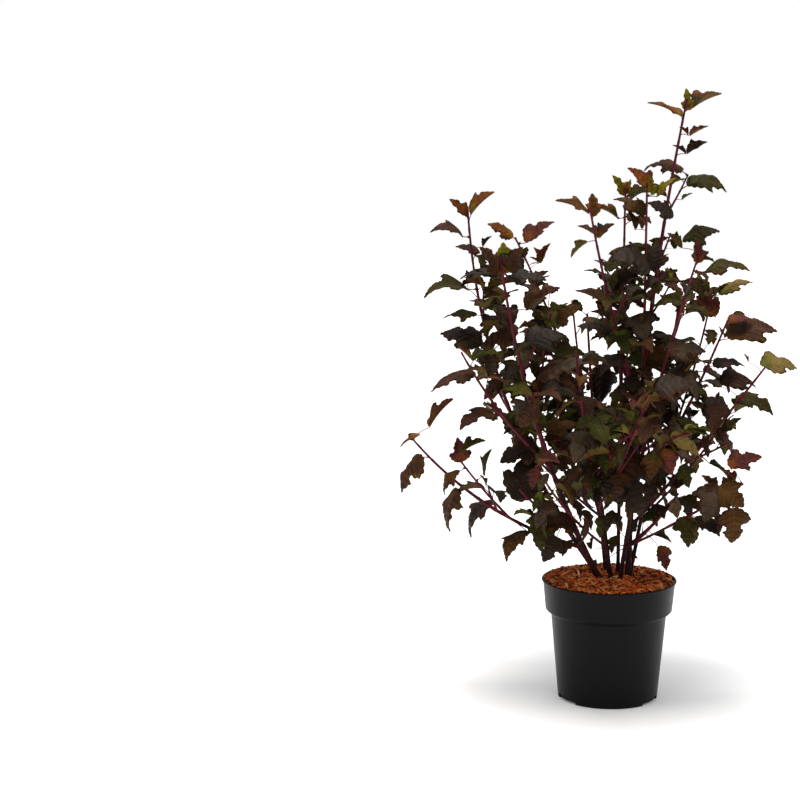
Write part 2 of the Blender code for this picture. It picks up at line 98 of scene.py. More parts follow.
# The openings in the foliage that show sky: circles by their radius, in pixels
OPENINGS = {
    14: [(462, 388)],
    13: [(444, 430), (663, 321), (561, 272)],
    12: [(492, 433)],
    10: [(591, 280), (578, 342), (678, 263), (733, 350), (658, 227), (570, 321)],
    9: [(614, 239), (589, 255), (707, 467), (494, 473), (474, 458), (455, 410), (479, 231), (590, 304),
        (573, 557), (641, 236), (566, 293)],
    8: [(466, 504), (676, 547), (656, 175), (670, 192), (711, 325), (441, 394), (691, 325), (596, 349),
        (699, 420), (473, 432), (443, 451), (456, 483), (677, 156), (504, 402), (695, 491), (539, 237),
        (551, 298), (416, 446), (649, 545), (481, 428), (715, 462)],
    6: [(717, 453), (530, 316), (681, 488), (698, 138), (496, 239), (518, 268), (738, 275), (683, 279),
        (633, 317), (748, 348), (709, 352), (737, 412), (424, 430), (427, 452), (524, 505), (463, 516),
        (494, 483), (568, 344), (688, 264), (582, 556), (571, 332), (500, 424)],
    5: [(715, 278), (694, 340), (494, 457), (510, 464), (669, 528), (626, 174), (468, 320), (612, 353),
        (478, 400), (475, 496), (673, 330), (607, 245), (580, 317), (587, 291), (588, 345), (574, 305)],
    4: [(713, 286), (676, 318), (685, 255), (664, 174), (661, 195), (594, 247), (464, 297), (589, 399),
        (608, 402), (680, 103), (634, 184), (459, 241), (607, 254), (633, 266), (599, 273), (516, 289),
        (669, 309), (676, 323), (697, 369), (620, 405), (736, 450), (470, 497), (567, 534), (693, 142),
        (622, 214), (661, 247), (597, 260), (641, 274), (601, 282), (521, 290), (667, 295), (465, 305),
        (724, 310), (723, 399), (508, 409), (753, 411), (515, 459), (560, 481), (643, 528), (664, 530),
        (588, 312), (575, 331)],
}

# Leaves that stand out: the base and the tip in pixels, the midrib's arch in degrees, how far the upper side
# faces the camera, and the tone
Sighted = namedtuple("Sighted", "x y tip_x tip_y arch facing tone")
SIGHTED = [
    (688, 110, 686, 88, 20, 1, "fresh"), (693, 108, 722, 94, 25, 0, "bronze"),
    (682, 117, 647, 103, 30, -0.08, "bronze"), (690, 136, 709, 126, 15, 0.2, "wine"),
    (688, 135, 679, 127, 15, 0.35, "wine"), (687, 154, 708, 142, 20, 0.25, "dark"),
    (686, 154, 672, 145, 20, 0.35, "dark"), (682, 171, 644, 172, 105, 0.02, "plum"),
    (687, 186, 726, 193, 95, 0, "olive"), (682, 200, 693, 193, 20, 0, "olive"),
    (673, 217, 647, 203, 50, 0.36, "dark"), (683, 242, 720, 232, 75, 0.12, "olive"),
    (682, 248, 667, 233, 40, 0.43, "olive"), (649, 193, 627, 168, 25, 0.22, "bronze"),
    (651, 195, 648, 175, 20, 0.5, "fresh"), (657, 197, 677, 178, 40, 0, "fresh"),
    (625, 195, 612, 175, 20, 0.85, "fresh"), (627, 194, 631, 179, 20, 0.7, "fresh"),
    (618, 219, 595, 207, 35, 0.2, "bronze"), (635, 230, 627, 210, 30, 0.43, "umber"),
    (643, 217, 613, 200, 70, 0.22, "umber"), (649, 268, 608, 261, 100, 0.35, "dark"),
    (652, 271, 657, 243, 50, 0.8, "dark"), (593, 217, 592, 193, 20, 0.8, "bronze"),
    (589, 214, 555, 201, 30, -0.08, "bronze"), (598, 238, 577, 226, 30, 0.1, "umber"),
    (600, 238, 615, 224, 30, 0.2, "plum"), (588, 242, 571, 258, 30, -0.1, "straw"),
    (603, 274, 583, 271, 40, 0, "olive"), (605, 305, 575, 291, 30, 0, "umber"),
    (610, 330, 577, 327, 60, 0.22, "dark"), (467, 217, 449, 199, 25, 0.36, "bronze"),
    (471, 215, 495, 192, 25, 0, "bronze"), (462, 237, 430, 233, 95, 0.12, "plum"),
    (480, 253, 455, 247, 40, 0.22, "dark"), (483, 247, 492, 236, 25, 0.22, "dark"),
    (513, 237, 487, 224, 40, 0.22, "bronze"), (526, 243, 555, 222, 30, 0.1, "wine"),
    (540, 263, 551, 243, 25, 0.6, "bronze"), (539, 263, 529, 257, 25, 0.29, "bronze"),
    (505, 273, 503, 242, 25, 1, "fresh"), (498, 273, 479, 247, 30, 0.5, "plum"),
    (512, 273, 523, 247, 30, 0.36, "plum"), (497, 277, 460, 280, 75, 0, "dark"),
    (467, 290, 424, 299, 95, 0.12, "olive"), (477, 315, 443, 319, 60, 0, "olive"),
    (481, 345, 440, 334, 60, 0.35, "dark"), (470, 359, 457, 347, 25, 0.29, "bronze"),
    (475, 373, 431, 393, 60, 0, "plum"), (509, 278, 547, 281, 45, 0.1, "dark"),
    (527, 310, 561, 288, 25, 0, "plum"), (557, 325, 582, 306, 45, 0.22, "umber"),
    (524, 346, 567, 337, 60, 0.3, "dark"), (538, 377, 590, 363, 45, 0.15, "ash"),
    (698, 263, 695, 238, 25, 0.8, "wine"), (705, 273, 750, 272, 85, 0, "olive"),
    (707, 287, 695, 278, 30, 0.25, "pale"), (720, 295, 753, 283, 70, 0, "straw"),
    (717, 315, 696, 296, 30, 0.95, "wine"), (728, 339, 777, 332, 60, 0.2, "plum"),
    (760, 365, 797, 369, 50, 0.15, "straw"), (748, 362, 743, 353, 20, 0.2, "bronze"),
    (718, 385, 755, 388, 95, 0.22, "plum"), (737, 400, 773, 416, 75, 0.1, "olive"),
    (727, 415, 698, 398, 55, 0.43, "dark"), (722, 431, 742, 418, 45, 0.22, "olive"),
    (730, 468, 762, 457, 30, 0.25, "wine"), (715, 430, 731, 457, 75, 0, "wine"),
    (716, 484, 704, 522, 45, 0.95, "ash"), (719, 486, 744, 507, 40, 0.9, "umber"),
    (733, 508, 731, 543, 50, 0.8, "umber"), (682, 517, 688, 548, 40, 0.8, "olive"),
    (695, 517, 720, 537, 45, 0.2, "dark"), (653, 535, 672, 543, 25, 0.2, "olive"),
    (670, 436, 700, 458, 40, 0.2, "straw"), (662, 449, 671, 475, 35, 0.9, "red"),
    (629, 434, 610, 431, 30, 0.2, "moss"), (629, 434, 641, 422, 20, 0.4, "moss"),
    (430, 427, 454, 399, 25, -0.3, "wine"), (420, 435, 400, 448, 40, 0, "bronze"),
    (423, 457, 402, 493, 60, 0, "plum"), (460, 462, 457, 437, 25, 0.9, "wine"),
    (462, 453, 486, 441, 35, 0.1, "olive"), (485, 475, 492, 449, 25, -0.2, "olive"),
    (460, 471, 445, 495, 100, -0.05, "umber"), (458, 489, 451, 532, 80, -0.05, "plum"),
    (496, 503, 472, 538, 110, 0, "dark"), (516, 501, 531, 456, 35, 1, "dark"),
    (528, 532, 507, 562, 105, 0.1, "umber"), (557, 537, 543, 562, 50, 0.9, "dark"),
    (575, 527, 539, 530, 95, 0.29, "plum"), (494, 414, 460, 431, 75, 0.12, "dark"),
    (538, 447, 500, 463, 50, 0.45, "dark"), (658, 546, 666, 571, 20, 0.43, "wine"),
    (713, 366, 745, 367, 60, 0.1, "dark"), (623, 549, 638, 559, 30, 0.8, "umber"),
    (596, 566, 588, 558, 12, 0.43, "fresh"), (592, 549, 594, 535, 15, 0.22, "green"),
    (583, 510, 591, 531, 40, 0.43, "dark"), (611, 512, 622, 532, 40, 0.43, "dark"),
    (638, 519, 629, 538, 40, 0.36, "dark"), (626, 502, 628, 521, 30, 0.5, "umber"),
    (661, 510, 642, 523, 45, 0.36, "green"), (691, 514, 677, 497, 45, 0.5, "dark"),
    (572, 540, 562, 557, 40, 0.43, "dark"), (613, 523, 607, 514, 12, 0.29, "bronze"),
    (604, 516, 600, 538, 40, 0.36, "green"), (555, 325, 531, 306, 25, 0.15, "olive"),
    (529, 349, 556, 354, 45, 0, "olive"), (518, 331, 481, 349, 40, 0.15, "plum"),
    (519, 329, 537, 323, 20, 0.1, "bronze"), (513, 325, 491, 305, 30, 0.5, "ash"),
    (503, 297, 481, 300, 25, 0.1, "olive"), (497, 312, 484, 308, 20, 0.3, "green"),
    (489, 350, 492, 377, 35, 0.8, "ash"), (519, 355, 501, 360, 30, 0.3, "dark"),
    (519, 366, 501, 382, 40, 0.6, "dark"), (537, 379, 527, 355, 35, 0.3, "olive"),
    (555, 358, 587, 357, 35, 0.1, "olive"), (536, 380, 541, 402, 40, 0.7, "plum"),
    (501, 381, 484, 400, 40, 0.5, "plum"), (531, 396, 501, 391, 90, 0.1, "moss"),
    (552, 376, 577, 392, 40, 0.5, "umber"), (659, 245, 670, 237, 20, 0.3, "umber"),
    (675, 249, 677, 231, 30, 0.7, "green"), (606, 272, 626, 264, 35, 0.3, "olive"),
    (614, 292, 637, 271, 35, 0.3, "dark"), (613, 290, 618, 270, 30, 0.5, "olive"),
    (647, 286, 629, 288, 30, 0.1, "green"), (663, 285, 645, 299, 40, 0.5, "umber"),
    (664, 284, 682, 296, 75, 0.2, "umber"), (658, 278, 672, 272, 25, 0.1, "dark"),
    (661, 281, 679, 280, 40, 0, "olive"), (644, 308, 631, 300, 40, 0.5, "dark"),
    (628, 307, 613, 303, 25, 0.4, "umber"), (684, 306, 652, 309, 95, 0, "olive"),
    (684, 307, 674, 313, 25, 0.3, "green"), (609, 318, 590, 312, 30, 0.1, "dark"),
    (600, 364, 600, 404, 45, 0.8, "dark"), (627, 357, 600, 378, 75, 0.1, "dark"),
    (650, 352, 630, 355, 30, 0.3, "green"), (652, 368, 664, 343, 40, 0.6, "umber"),
    (645, 371, 655, 353, 30, 0.5, "bronze"), (676, 344, 652, 336, 60, 0.1, "ash"),
    (668, 350, 706, 352, 40, 0.3, "ash"), (637, 380, 620, 369, 30, 0.5, "plum"),
    (640, 382, 614, 394, 50, 0.4, "dark"), (652, 388, 641, 404, 40, 0.5, "plum"),
    (652, 388, 694, 386, 60, 0.35, "dark"), (672, 390, 672, 412, 50, 0.6, "ash"),
    (697, 392, 684, 401, 25, 0.3, "green"), (677, 411, 662, 432, 100, 0, "dark"),
    (684, 410, 690, 423, 25, 0.6, "dark"), (616, 412, 601, 424, 40, 0.7, "dark"),
    (652, 402, 662, 418, 30, 0.5, "dark"), (618, 340, 607, 351, 30, 0.1, "olive"),
    (603, 336, 590, 341, 25, 0.2, "green"), (520, 429, 503, 435, 35, 0.3, "dark"),
    (537, 405, 520, 428, 40, 0.6, "plum"), (540, 437, 527, 430, 25, 0.2, "moss"),
    (548, 432, 578, 424, 40, 0.4, "umber"), (562, 440, 580, 434, 30, 0.4, "green"),
    (548, 422, 560, 410, 25, 0.5, "green"), (540, 468, 532, 489, 35, 0.5, "wine"),
    (541, 492, 533, 512, 40, 0.7, "green"), (549, 474, 541, 489, 30, 0.5, "ash"),
    (560, 470, 573, 453, 40, 0.6, "plum"), (577, 470, 563, 490, 40, 0.7, "dark"),
    (557, 456, 551, 442, 20, 0.3, "moss"), (555, 490, 559, 500, 20, 0.5, "green"),
    (643, 455, 619, 488, 45, 0.8, "plum"), (655, 450, 650, 480, 40, 0.8, "umber"),
    (677, 452, 696, 463, 40, 0.6, "ash"), (681, 465, 689, 488, 40, 0.8, "green"),
    (598, 455, 606, 476, 30, 0.5, "green"), (622, 458, 614, 468, 20, 0.6, "moss"),
    (612, 470, 604, 498, 40, 0.8, "dark"), (622, 474, 615, 500, 40, 0.7, "dark"),
    (655, 484, 645, 508, 40, 0.8, "dark"), (656, 486, 666, 511, 30, 0, "dark"),
    (684, 428, 710, 437, 40, 0.2, "green"), (702, 439, 708, 458, 35, 0.7, "plum"),
    (714, 430, 708, 419, 25, 0.4, "olive"), (735, 480, 723, 470, 15, 0.1, "wine"),
    (643, 217, 636, 197, 20, 0.5, "umber"), (728, 323, 752, 319, 40, 0.15, "red"),
    (540, 262, 533, 247, 30, 0.3, "bronze"), (533, 283, 549, 271, 30, 0.3, "plum"),
    (722, 387, 704, 380, 40, 0.5, "ash"), (716, 488, 701, 475, 30, 0.7, "umber"),
    (723, 488, 735, 475, 30, 0.6, "umber"), (660, 468, 664, 489, 40, 0.5, "dark"),
    (574, 500, 580, 521, 40, 0.5, "dark"), (613, 510, 607, 532, 40, 0.6, "dark"),
    (603, 483, 596, 506, 40, 0.6, "dark"), (618, 536, 612, 554, 35, 0.4, "green"),
    (648, 512, 658, 527, 40, 0.4, "dark"),
]

# Pot: a 6 litre nursery pot of 23 cm with a deep collar
POT_HEIGHT = 0.206
BASE_RADIUS = 0.085
SHOULDER_RADIUS, SHOULDER_HEIGHT = 0.0985, 0.146
COLLAR_RADIUS, COLLAR_HEIGHT = 0.108, 0.154
RIM_RADIUS = 0.115
LIP_WIDTH, LIP_HEIGHT = 0.0022, 0.003
WALL = 0.002
POT_SIDES, BED_SIDES = 144, 96
DRAINS = 3
DRAIN_ARC = math.radians(36)
DRAIN_HEIGHT, DRAIN_DEPTH = 0.008, 0.014
FIRST_DRAIN = math.radians(-27)

# Soil and bark mulch
BALL_TOP = 0.188
GROUND = 0.2035
FLAT_RADIUS = 0.062
MULCH_BUMP = 0.0022
MULCH_OUT = RIM_RADIUS - LIP_WIDTH - WALL - 0.0008
CHIPS, RIM_CHIPS = 2600, 60
CHIP_RINGS = 4

# The bed's colour, dark bark with painted shade for the gaps between the chips, and those of the chips, and
# how common each chip is
CHIP_COLOURS = {
    "bark_bed": (62, 26, 14),
    "bark_rust": (240, 118, 52),
    "bark_brown": (186, 82, 38),
    "bark_dark": (74, 32, 20),
    "bark_tan": (255, 158, 80),
    "bark_pale": (255, 206, 132),
}
CHIP_SHARES = (5, 4, 2.6, 2.4, 1.6)

CLEARANCE = 0.0003
SAG = 0.00025
FLARE_HEIGHT = 0.016
GOLDEN_TURN = math.radians(137.5)

# Leaf sizes, from the youngest at a shoot's tip to the full-grown ones below
SMALL_LEAF, LARGE_LEAF = 0.045, 0.075
GROWN_AT = 0.12
SMALL_GAP, LARGE_GAP = 0.013, 0.028
PETIOLE_SHARE = 0.27
PETIOLE_RADIUS = 0.001
LEAF_THICKNESS = 0.014
TIP_RADIUS = 0.0013
TWIG_RADIUS = 0.0015
MULCH_CLEAR = 0.03
LEAF_SPARE = 0.01
PETIOLE_POINTS, PETIOLE_FACES = 4, 3

# A leaf's outline from its base to its tip, as shares of its length: along the midrib, and out to one side
SIDE_LOBE = (0.27, 0.39)
SINUS = (0.58, 0.25)
HEART = 0.42
FOLD = 0.35

# Below this height the leaves hang, and fully so lower down by the depth
HANG_TOP, HANG_DEPTH = 0.55, 0.24

# A shoot: where it starts (a foot on the ground, or a parent and a share of its length), where its tip is,
# how far its middle bows outwards, and the bare share of its length. Its girth is the foot's radius.
Shoot = namedtuple("Shoot", "name root tip bow bare girth", defaults=(0.0,))

SHOOTS = [
    # Canes that rise from the ground
    Shoot("left_front", (-0.017, 0.003), (-0.184, -0.125, 0.765), 0.09, 0.43, 0.0056),
    Shoot("left_back", (-0.017, 0.026), (-0.250, 0.060, 0.835), 0.15, 0.39, 0.0044),
    Shoot("back_left", (0.001, 0.036), (-0.172, 0.130, 0.780), -0.11, 0.42, 0.0038),
    Shoot("leader", (0.032, 0.014), (0.117, 0.020, 1.020), -0.04, 0.48, 0.0052),
    Shoot("back_centre", (0.015, 0.050), (0.018, 0.130, 0.870), -0.03, 0.32, 0.0034),
    Shoot("right_front", (0.019, -0.004), (0.140, -0.105, 0.780), -0.06, 0.36, 0.0038),
    Shoot("back_right", (0.035, 0.036), (0.125, 0.215, 0.730), 0.04, 0.39, 0.0036),
    Shoot("far_back", (-0.006, 0.058), (-0.050, 0.235, 0.700), 0.05, 0.36, 0.0034),
    Shoot("front", (0.004, 0.014), (-0.060, -0.205, 0.640), 0.06, 0.38, 0.0034),
    # Side branches of the canes on the left
    Shoot("low_left", ("left_front", 0.11), (-0.335, -0.075, 0.460), 0.15, 0.42),
    Shoot("low_left_twig", ("low_left", 0.38), (-0.255, -0.125, 0.440), 0.04, 0.0),
    Shoot("crossing", ("left_front", 0.26), (0.040, -0.160, 0.500), 0.05, 0.30),
    Shoot("mid_left", ("left_front", 0.38), (-0.246, -0.130, 0.610), 0.08, 0.22),
    Shoot("inner_left", ("left_back", 0.32), (-0.105, 0.020, 0.660), -0.04, 0.0),
    Shoot("low_back_left", ("back_left", 0.16), (-0.215, 0.175, 0.480), 0.08, 0.30),
    Shoot("back_twig", ("back_left", 0.36), (-0.075, 0.165, 0.690), 0.03, 0.0),
    Shoot("under_left", ("left_front", 0.18), (-0.150, -0.110, 0.380), 0.10, 0.0),
    # Side branches of the canes on the right
    Shoot("centre_front", ("leader", 0.36), (-0.040, -0.100, 0.845), 0.05, 0.0),
    Shoot("upper_right", ("leader", 0.43), (0.052, -0.066, 0.885), 0.08, 0.0),
    Shoot("right", ("leader", 0.15), (0.193, 0.035, 0.650), 0.04, 0.42),
    Shoot("right_twig", ("right", 0.38), (0.170, 0.130, 0.680), 0.06, 0.0),
    Shoot("far_right", ("leader", 0.11), (0.258, -0.070, 0.595), 0.02, 0.45),
    Shoot("far_right_twig", ("far_right", 0.41), (0.245, 0.030, 0.470), 0.05, 0.0),
    Shoot("low_right", ("right_front", 0.10), (0.215, -0.130, 0.400), 0.03, 0.35),
    Shoot("mid_right", ("right_front", 0.28), (0.125, -0.180, 0.490), -0.20, 0.15),
    Shoot("under_right", ("leader", 0.07), (0.120, -0.020, 0.370), 0.08, 0.0),
    # Side branches at the back and the front
    Shoot("low_back_right", ("back_right", 0.18), (0.215, 0.180, 0.480), 0.08, 0.30),
    Shoot("low_back", ("far_back", 0.18), (-0.070, 0.290, 0.450), 0.09, 0.30),
    Shoot("mid_back", ("back_right", 0.34), (0.050, 0.260, 0.560), 0.05, 0.0),
    Shoot("low_front", ("front", 0.16), (-0.120, -0.195, 0.435), 0.09, 0.30),
    Shoot("mid_front", ("front", 0.33), (0.060, -0.225, 0.560), 0.05, 0.0),
]

Leaf = namedtuple("Leaf", "root base direction side up length arch")


# What the camera sees


def seen(point):
    """The pixel at which the camera sees a point, and the point's distance."""
    offset = point - CAMERA_PLACE
    depth = offset.dot(AHEAD)
    across, upwards = offset.dot(ACROSS) / depth, offset.dot(UPWARDS) / depth
    return PICTURE / 2 + FOCAL * across, PICTURE / 2 - FOCAL * upwards, depth


def placed(x, y, depth):
    """The point that the camera sees at a pixel, at a distance."""
    across, upwards = (x - PICTURE / 2) / FOCAL, (PICTURE / 2 - y) / FOCAL
    return CAMERA_PLACE + (AHEAD + ACROSS * across + UPWARDS * upwards) * depth


def in_sky(point):
    """Whether the photograph shows sky at a point."""
    x, y, _ = seen(point)
    for radius, middles in OPENINGS.items():
        if any(math.hypot(x - mid_x, y - mid_y) < radius for mid_x, mid_y in middles):
            return True
    inside = False
    for (x1, y1), (x2, y2) in zip(SKYLINE, SKYLINE[1:] + SKYLINE[:1]):
        if (y1 > y) != (y2 > y) and x < x1 + (x2 - x1) * (y - y1) / (y2 - y1):
            inside = not inside
    return not inside


# The growth rule


class Curve:
    """A bent line from a root to a tip, drawn towards a knee, with a direction across it."""

    def at(self, share):
        rest = 1 - share
        return self.root * rest * rest + self.knee * 2 * rest * share + self.tip * share * share

    def along(self, share):
        """The direction of growth at a share of the length."""
        return ((self.knee - self.root) * (1 - share) + (self.tip - self.knee) * share).normalized()

    def outward(self, share, turn):
        """The direction away from the curve at a share of its length and a turn round it."""
        over = self.across.cross(self.along(share))
        return self.across * math.cos(turn) + over * math.sin(turn)


class Path(Curve):
    """A curve whose middle bows outwards and down by a share of its length."""

    def __init__(self, root, tip, bow, stands=False):
        self.stands = stands
        chord = tip - root
        level = Vector((chord.x, chord.y, 0))
        outward = level.normalized() if level.length > 1e-6 else Vector((1, 0, 0))
        sideways = outward * chord.z - Vector((0, 0, level.length))
        self.root, self.tip = root, tip
        self.knee = (root + tip) / 2 + sideways * bow
        self.across = outward.cross(Vector((0, 0, 1)))
        self.length = sum((self.at((i + 1) / 16) - self.at(i / 16)).length for i in range(16))
        self.curving = math.sqrt(abs(bow) * self.length / (2 * SAG))


def skin(rings, sides):
    """Faces of a closed tube whose points stand in rings one after another."""
    faces = []
    for i in range(rings - 1):
        for k in range(sides):
            a, b = i * sides + k, i * sides + (k + 1) % sides
            faces.append((a, a + sides, b + sides, b))
    last = range((rings - 1) * sides, rings * sides)
    return faces + [tuple(range(sides)), tuple(reversed(last))]


def tube(path, start, end, radius_at, sides):
    """Points and faces of a closed tube along part of a path, in pieces as long as its curve allows."""
    pieces = max(2, math.ceil((end - start) * path.curving))
    shares = [start + (end - start) * i / pieces for i in range(pieces + 1)]
    if path.stands and start == 0:
        shares.insert(1, FLARE_HEIGHT / path.length)
    points = []
    for share in shares:
        for k in range(sides):
            reach = path.outward(share, 2 * math.pi * k / sides)
            point = path.at(share) + reach * radius_at(share)
            if path.stands and share == 0:
                point += path.along(0) * (path.root.z - point.z) / path.along(0).z
            points.append(point)
    return points, skin(len(shares), sides)


class Branch:
    """A shoot with its path and its thickness worked out."""

    def __init__(self, shoot, parent):
        self.shoot, self.parent = shoot, parent
        if parent:
            share = shoot.root[1]
            root = parent.path.at(share)
            self.girth = min(0.0042, parent.radius_at(share) * 0.7)
        else:
            root = Vector((*shoot.root, GROUND + CLEARANCE))
            self.girth = shoot.girth
        self.path = Path(root, Vector(shoot.tip), shoot.bow, stands=not parent)

    def radius_at(self, share):
        """The radius tapers to the tip, and a cane has a root flare at the ground."""
        flare = 0.0
        if not self.parent:
            flare = 0.4 * self.girth * max(0.0, 1 - share * self.path.length / FLARE_HEIGHT) ** 2
        return TIP_RADIUS + (self.girth - TIP_RADIUS) * (1 - share) + flare


# Leaves


def blade_normal(leaf, along):
    """Which way the blade's upper side faces at a share of the midrib's length."""
    bend = leaf.arch * along
    return leaf.up * math.cos(bend) + leaf.direction * math.sin(bend)


def leaf_point(leaf, along, aside):
    """A point of the blade: the midrib arches down and the two halves fold up from it."""
    bend = leaf.arch * along
    reach = leaf.length / leaf.arch
    midrib = leaf.base + leaf.direction * reach * math.sin(bend) - leaf.up * reach * (1 - math.cos(bend))
    width = aside * leaf.length
    return midrib + leaf.side * width + blade_normal(leaf, along) * abs(width) * FOLD


# Spots of a blade that are tested against the sky and against leaves behind it
SPOTS = ((HEART, 0.0), (0.92, 0.0), (0.3, 0.32), (0.3, -0.32), (0.62, 0.18), (0.62, -0.18))


def spans_sky(leaf):
    """Whether a leaf starts in the sky, or would close an opening that the photograph shows."""
    return in_sky(leaf.root) or any(in_sky(leaf_point(leaf, along, aside)) for along, aside in SPOTS)


def leaf_solid(leaf, spare=0.0):
    """Points and faces of one leaf: a petiole from a point in its stem, and a thin three-lobed blade.

    A spare share makes the blade wider and thicker, to keep leaves that far apart.
    """
    side = leaf.side
    over = (leaf.base - leaf.root).normalized().cross(side)
    points = [leaf.root]
    points += [leaf.base + reach * PETIOLE_RADIUS for reach in (side, -side, over * -1.2)]
    wide = 1 + 8 * spare
    outline = [SIDE_LOBE, SINUS, (1.0, 0.0)]
    points += [leaf_point(leaf, along, aside * wide) for along, aside in outline]
    points += [leaf_point(leaf, along, -aside * wide) for along, aside in outline[1::-1]]
    heart = leaf_point(leaf, HEART, 0.0)
    half = blade_normal(leaf, HEART) * leaf.length * (LEAF_THICKNESS / 2 + spare)
    points += [heart + half, heart - half]
    edge = [1, 4, 5, 6, 7, 8, 2]
    top, bottom = 9, 10
    faces = [(0, 2, 1), (0, 3, 2), (0, 1, 3)]
    faces += [(top, b, a) for a, b in zip(edge, edge[1:])] + [(top, 1, 2)]
    faces += [(bottom, a, b) for a, b in zip(edge, edge[1:])] + [(bottom, 2, 3), (bottom, 3, 1)]
    return points, faces


def leaf_on(path, share, turn, age, size, tilt, roll):
    """The leaf at a share of a path's length, turned about it. Age is 0 at the tip and 1 when grown."""
    root = path.at(share)
    outward = path.outward(share, turn)
    petiole = (path.along(share) * (0.95 - 0.35 * age) + outward).normalized()
    base = root + petiole * (size * PETIOLE_SHARE)
    level = Vector((petiole.x, petiole.y, 0))
    if level.length < 0.15:
        level = Vector((outward.x, outward.y, 0.0))
    level.normalize()
    hanging = min(1.0, max(0.0, (HANG_TOP - root.z) / HANG_DEPTH)) * age
    droop = tilt - math.radians(46) * hanging
    direction = level * math.cos(droop) + Vector((0, 0, math.sin(droop)))
    flat = Vector((0, 0, 1)).cross(level)
    side = flat * math.cos(roll) + direction.cross(flat) * math.sin(roll)
    arch = math.radians(34 + 24 * age)
    return Leaf(root, base, direction, side, direction.cross(side), size, arch)


def sighted_leaf(row, root, depth, turned):
    """The leaf of a row, on a root at its stem. It turns away from the camera's plane by an angle."""
    base = placed(row.x, row.y, depth)
    flat = placed(row.tip_x, row.tip_y, depth) - base
    tip = placed(row.tip_x, row.tip_y, depth + flat.length * math.tan(turned))
    chord = (tip - base).normalized()
    raised = AHEAD.cross(chord).normalized()
    if raised.z < 0:
        raised = -raised
    facing = math.radians(24 + 66 * row.facing)
    upper = raised * math.cos(facing) - AHEAD * math.sin(facing)
    upper = (upper - chord * upper.dot(chord)).normalized()
    arch = math.radians(max(row.arch, 8))
    direction = chord * math.cos(arch / 2) + upper * math.sin(arch / 2)
    up = upper * math.cos(arch / 2) - chord * math.sin(arch / 2)
    length = (tip - base).length * arch / 2 / math.sin(arch / 2)
    return Leaf(root, base, direction, up.cross(direction), up, length, arch)


# Growth

Borne = namedtuple("Borne", "leaf age stem tone", defaults=("",))

# How often a leaf is tried, and how it is turned, made smaller and lowered from one try to the next
LEAF_TRIES, TRY_TURN, TRY_SMALLER, TRY_LOWER = 14, math.radians(24), 0.03, 0.05

# Twigs stand at every third place for a leaf, from this far below the tip
TWIG_EVERY, TWIG_BELOW, TWIG_TRIES = 3, 0.12, 6
SPRAY_LEAVES, SPRAY_TRIES = 3, 5

# A sighted leaf looks for its stem among so many places of each, and each metre of depth beyond the nearest
# stems counts as so many pixels. It is tried nearer and further, in the end also where it meets its own stem.
STATIONS, LAST_STATION = 60, 0.995
NEAREST_STEM, DEPTH_COST = 3.4, 22
SIGHTED_TRIES, STRICT_TRIES, TRY_DEPTH, SIGHTED_TURN = 13, 10, 0.011, 0.45
STALK = 0.022

# How far back from their tips some shoots bear the sighted leaves alone
SIGHTED_ALONE = {
    "leader": 0.2, "left_back": 0.05, "left_front": 0.02, "back_left": 0.04, "centre_front": 0.05,
    "upper_right": 0.05, "back_centre": 0.03, "right_front": 0.03, "far_right": 0.05, "right": 0.03,
    "low_left": 0.24, "low_left_twig": 0.2, "low_right": 0.08,
}


def ball(points):
    """The middle of some points, and how far the furthest of them lies from it."""
    middle = sum(points, Vector()) / len(points)
    return middle, max((p - middle).length for p in points)


class Obstacles:
    """Everything that a new leaf or twig has to stay clear of."""

    def __init__(self):
        self.items, self.shown = [], []

    def add(self, owner, points, faces):
        self.items.append((owner, *ball(points), BVHTree.FromPolygons(points, faces)))

    def meets(self, points, faces, ignored=()):
        middle, radius = ball(points)
        shape = None
        for owner, other, reach, tree in self.items:
            if owner in ignored or (other - middle).length > radius + reach:
                continue
            shape = shape or BVHTree.FromPolygons(points, faces)
            if tree.overlap(shape):
                return True
        return False

    def show(self, leaf):
        """Keeps the view of a leaf free: two discs of the picture, and how far away they are."""
        for along, share in ((0.35, 0.24), (0.72, 0.14)):
            x, y, depth = seen(leaf_point(leaf, along, 0.0))
            self.shown.append((x, y, depth, share * leaf.length * FOCAL / depth))

    def hides(self, leaf):
        """Whether a leaf would stand before one whose view is kept free."""
        discs = np.array(self.shown)
        spots = np.array([seen(leaf_point(leaf, along, aside)) for along, aside in SPOTS])
        away = spots[:, None, :] - discs[None, :, :3]
        covers = (np.hypot(away[..., 0], away[..., 1]) < discs[:, 3]) & (away[..., 2] < 0)
        return bool(covers.any())


def to_and_fro(attempt, step):
    """No step at first, then one to one side, one to the other, two to the first and so on."""
    return (attempt + 1) // 2 * step * (1 if attempt % 2 else -1)


def leaf_stations(length):
    """Distances back from a stem's tip at which leaves stand, wider apart below."""
    distance, found = 0.004, []
    while distance < length - 0.006:
        found.append(distance)
        grown = min(1.0, distance / GROWN_AT)
        distance += SMALL_GAP + (LARGE_GAP - SMALL_GAP) * grown
    return found


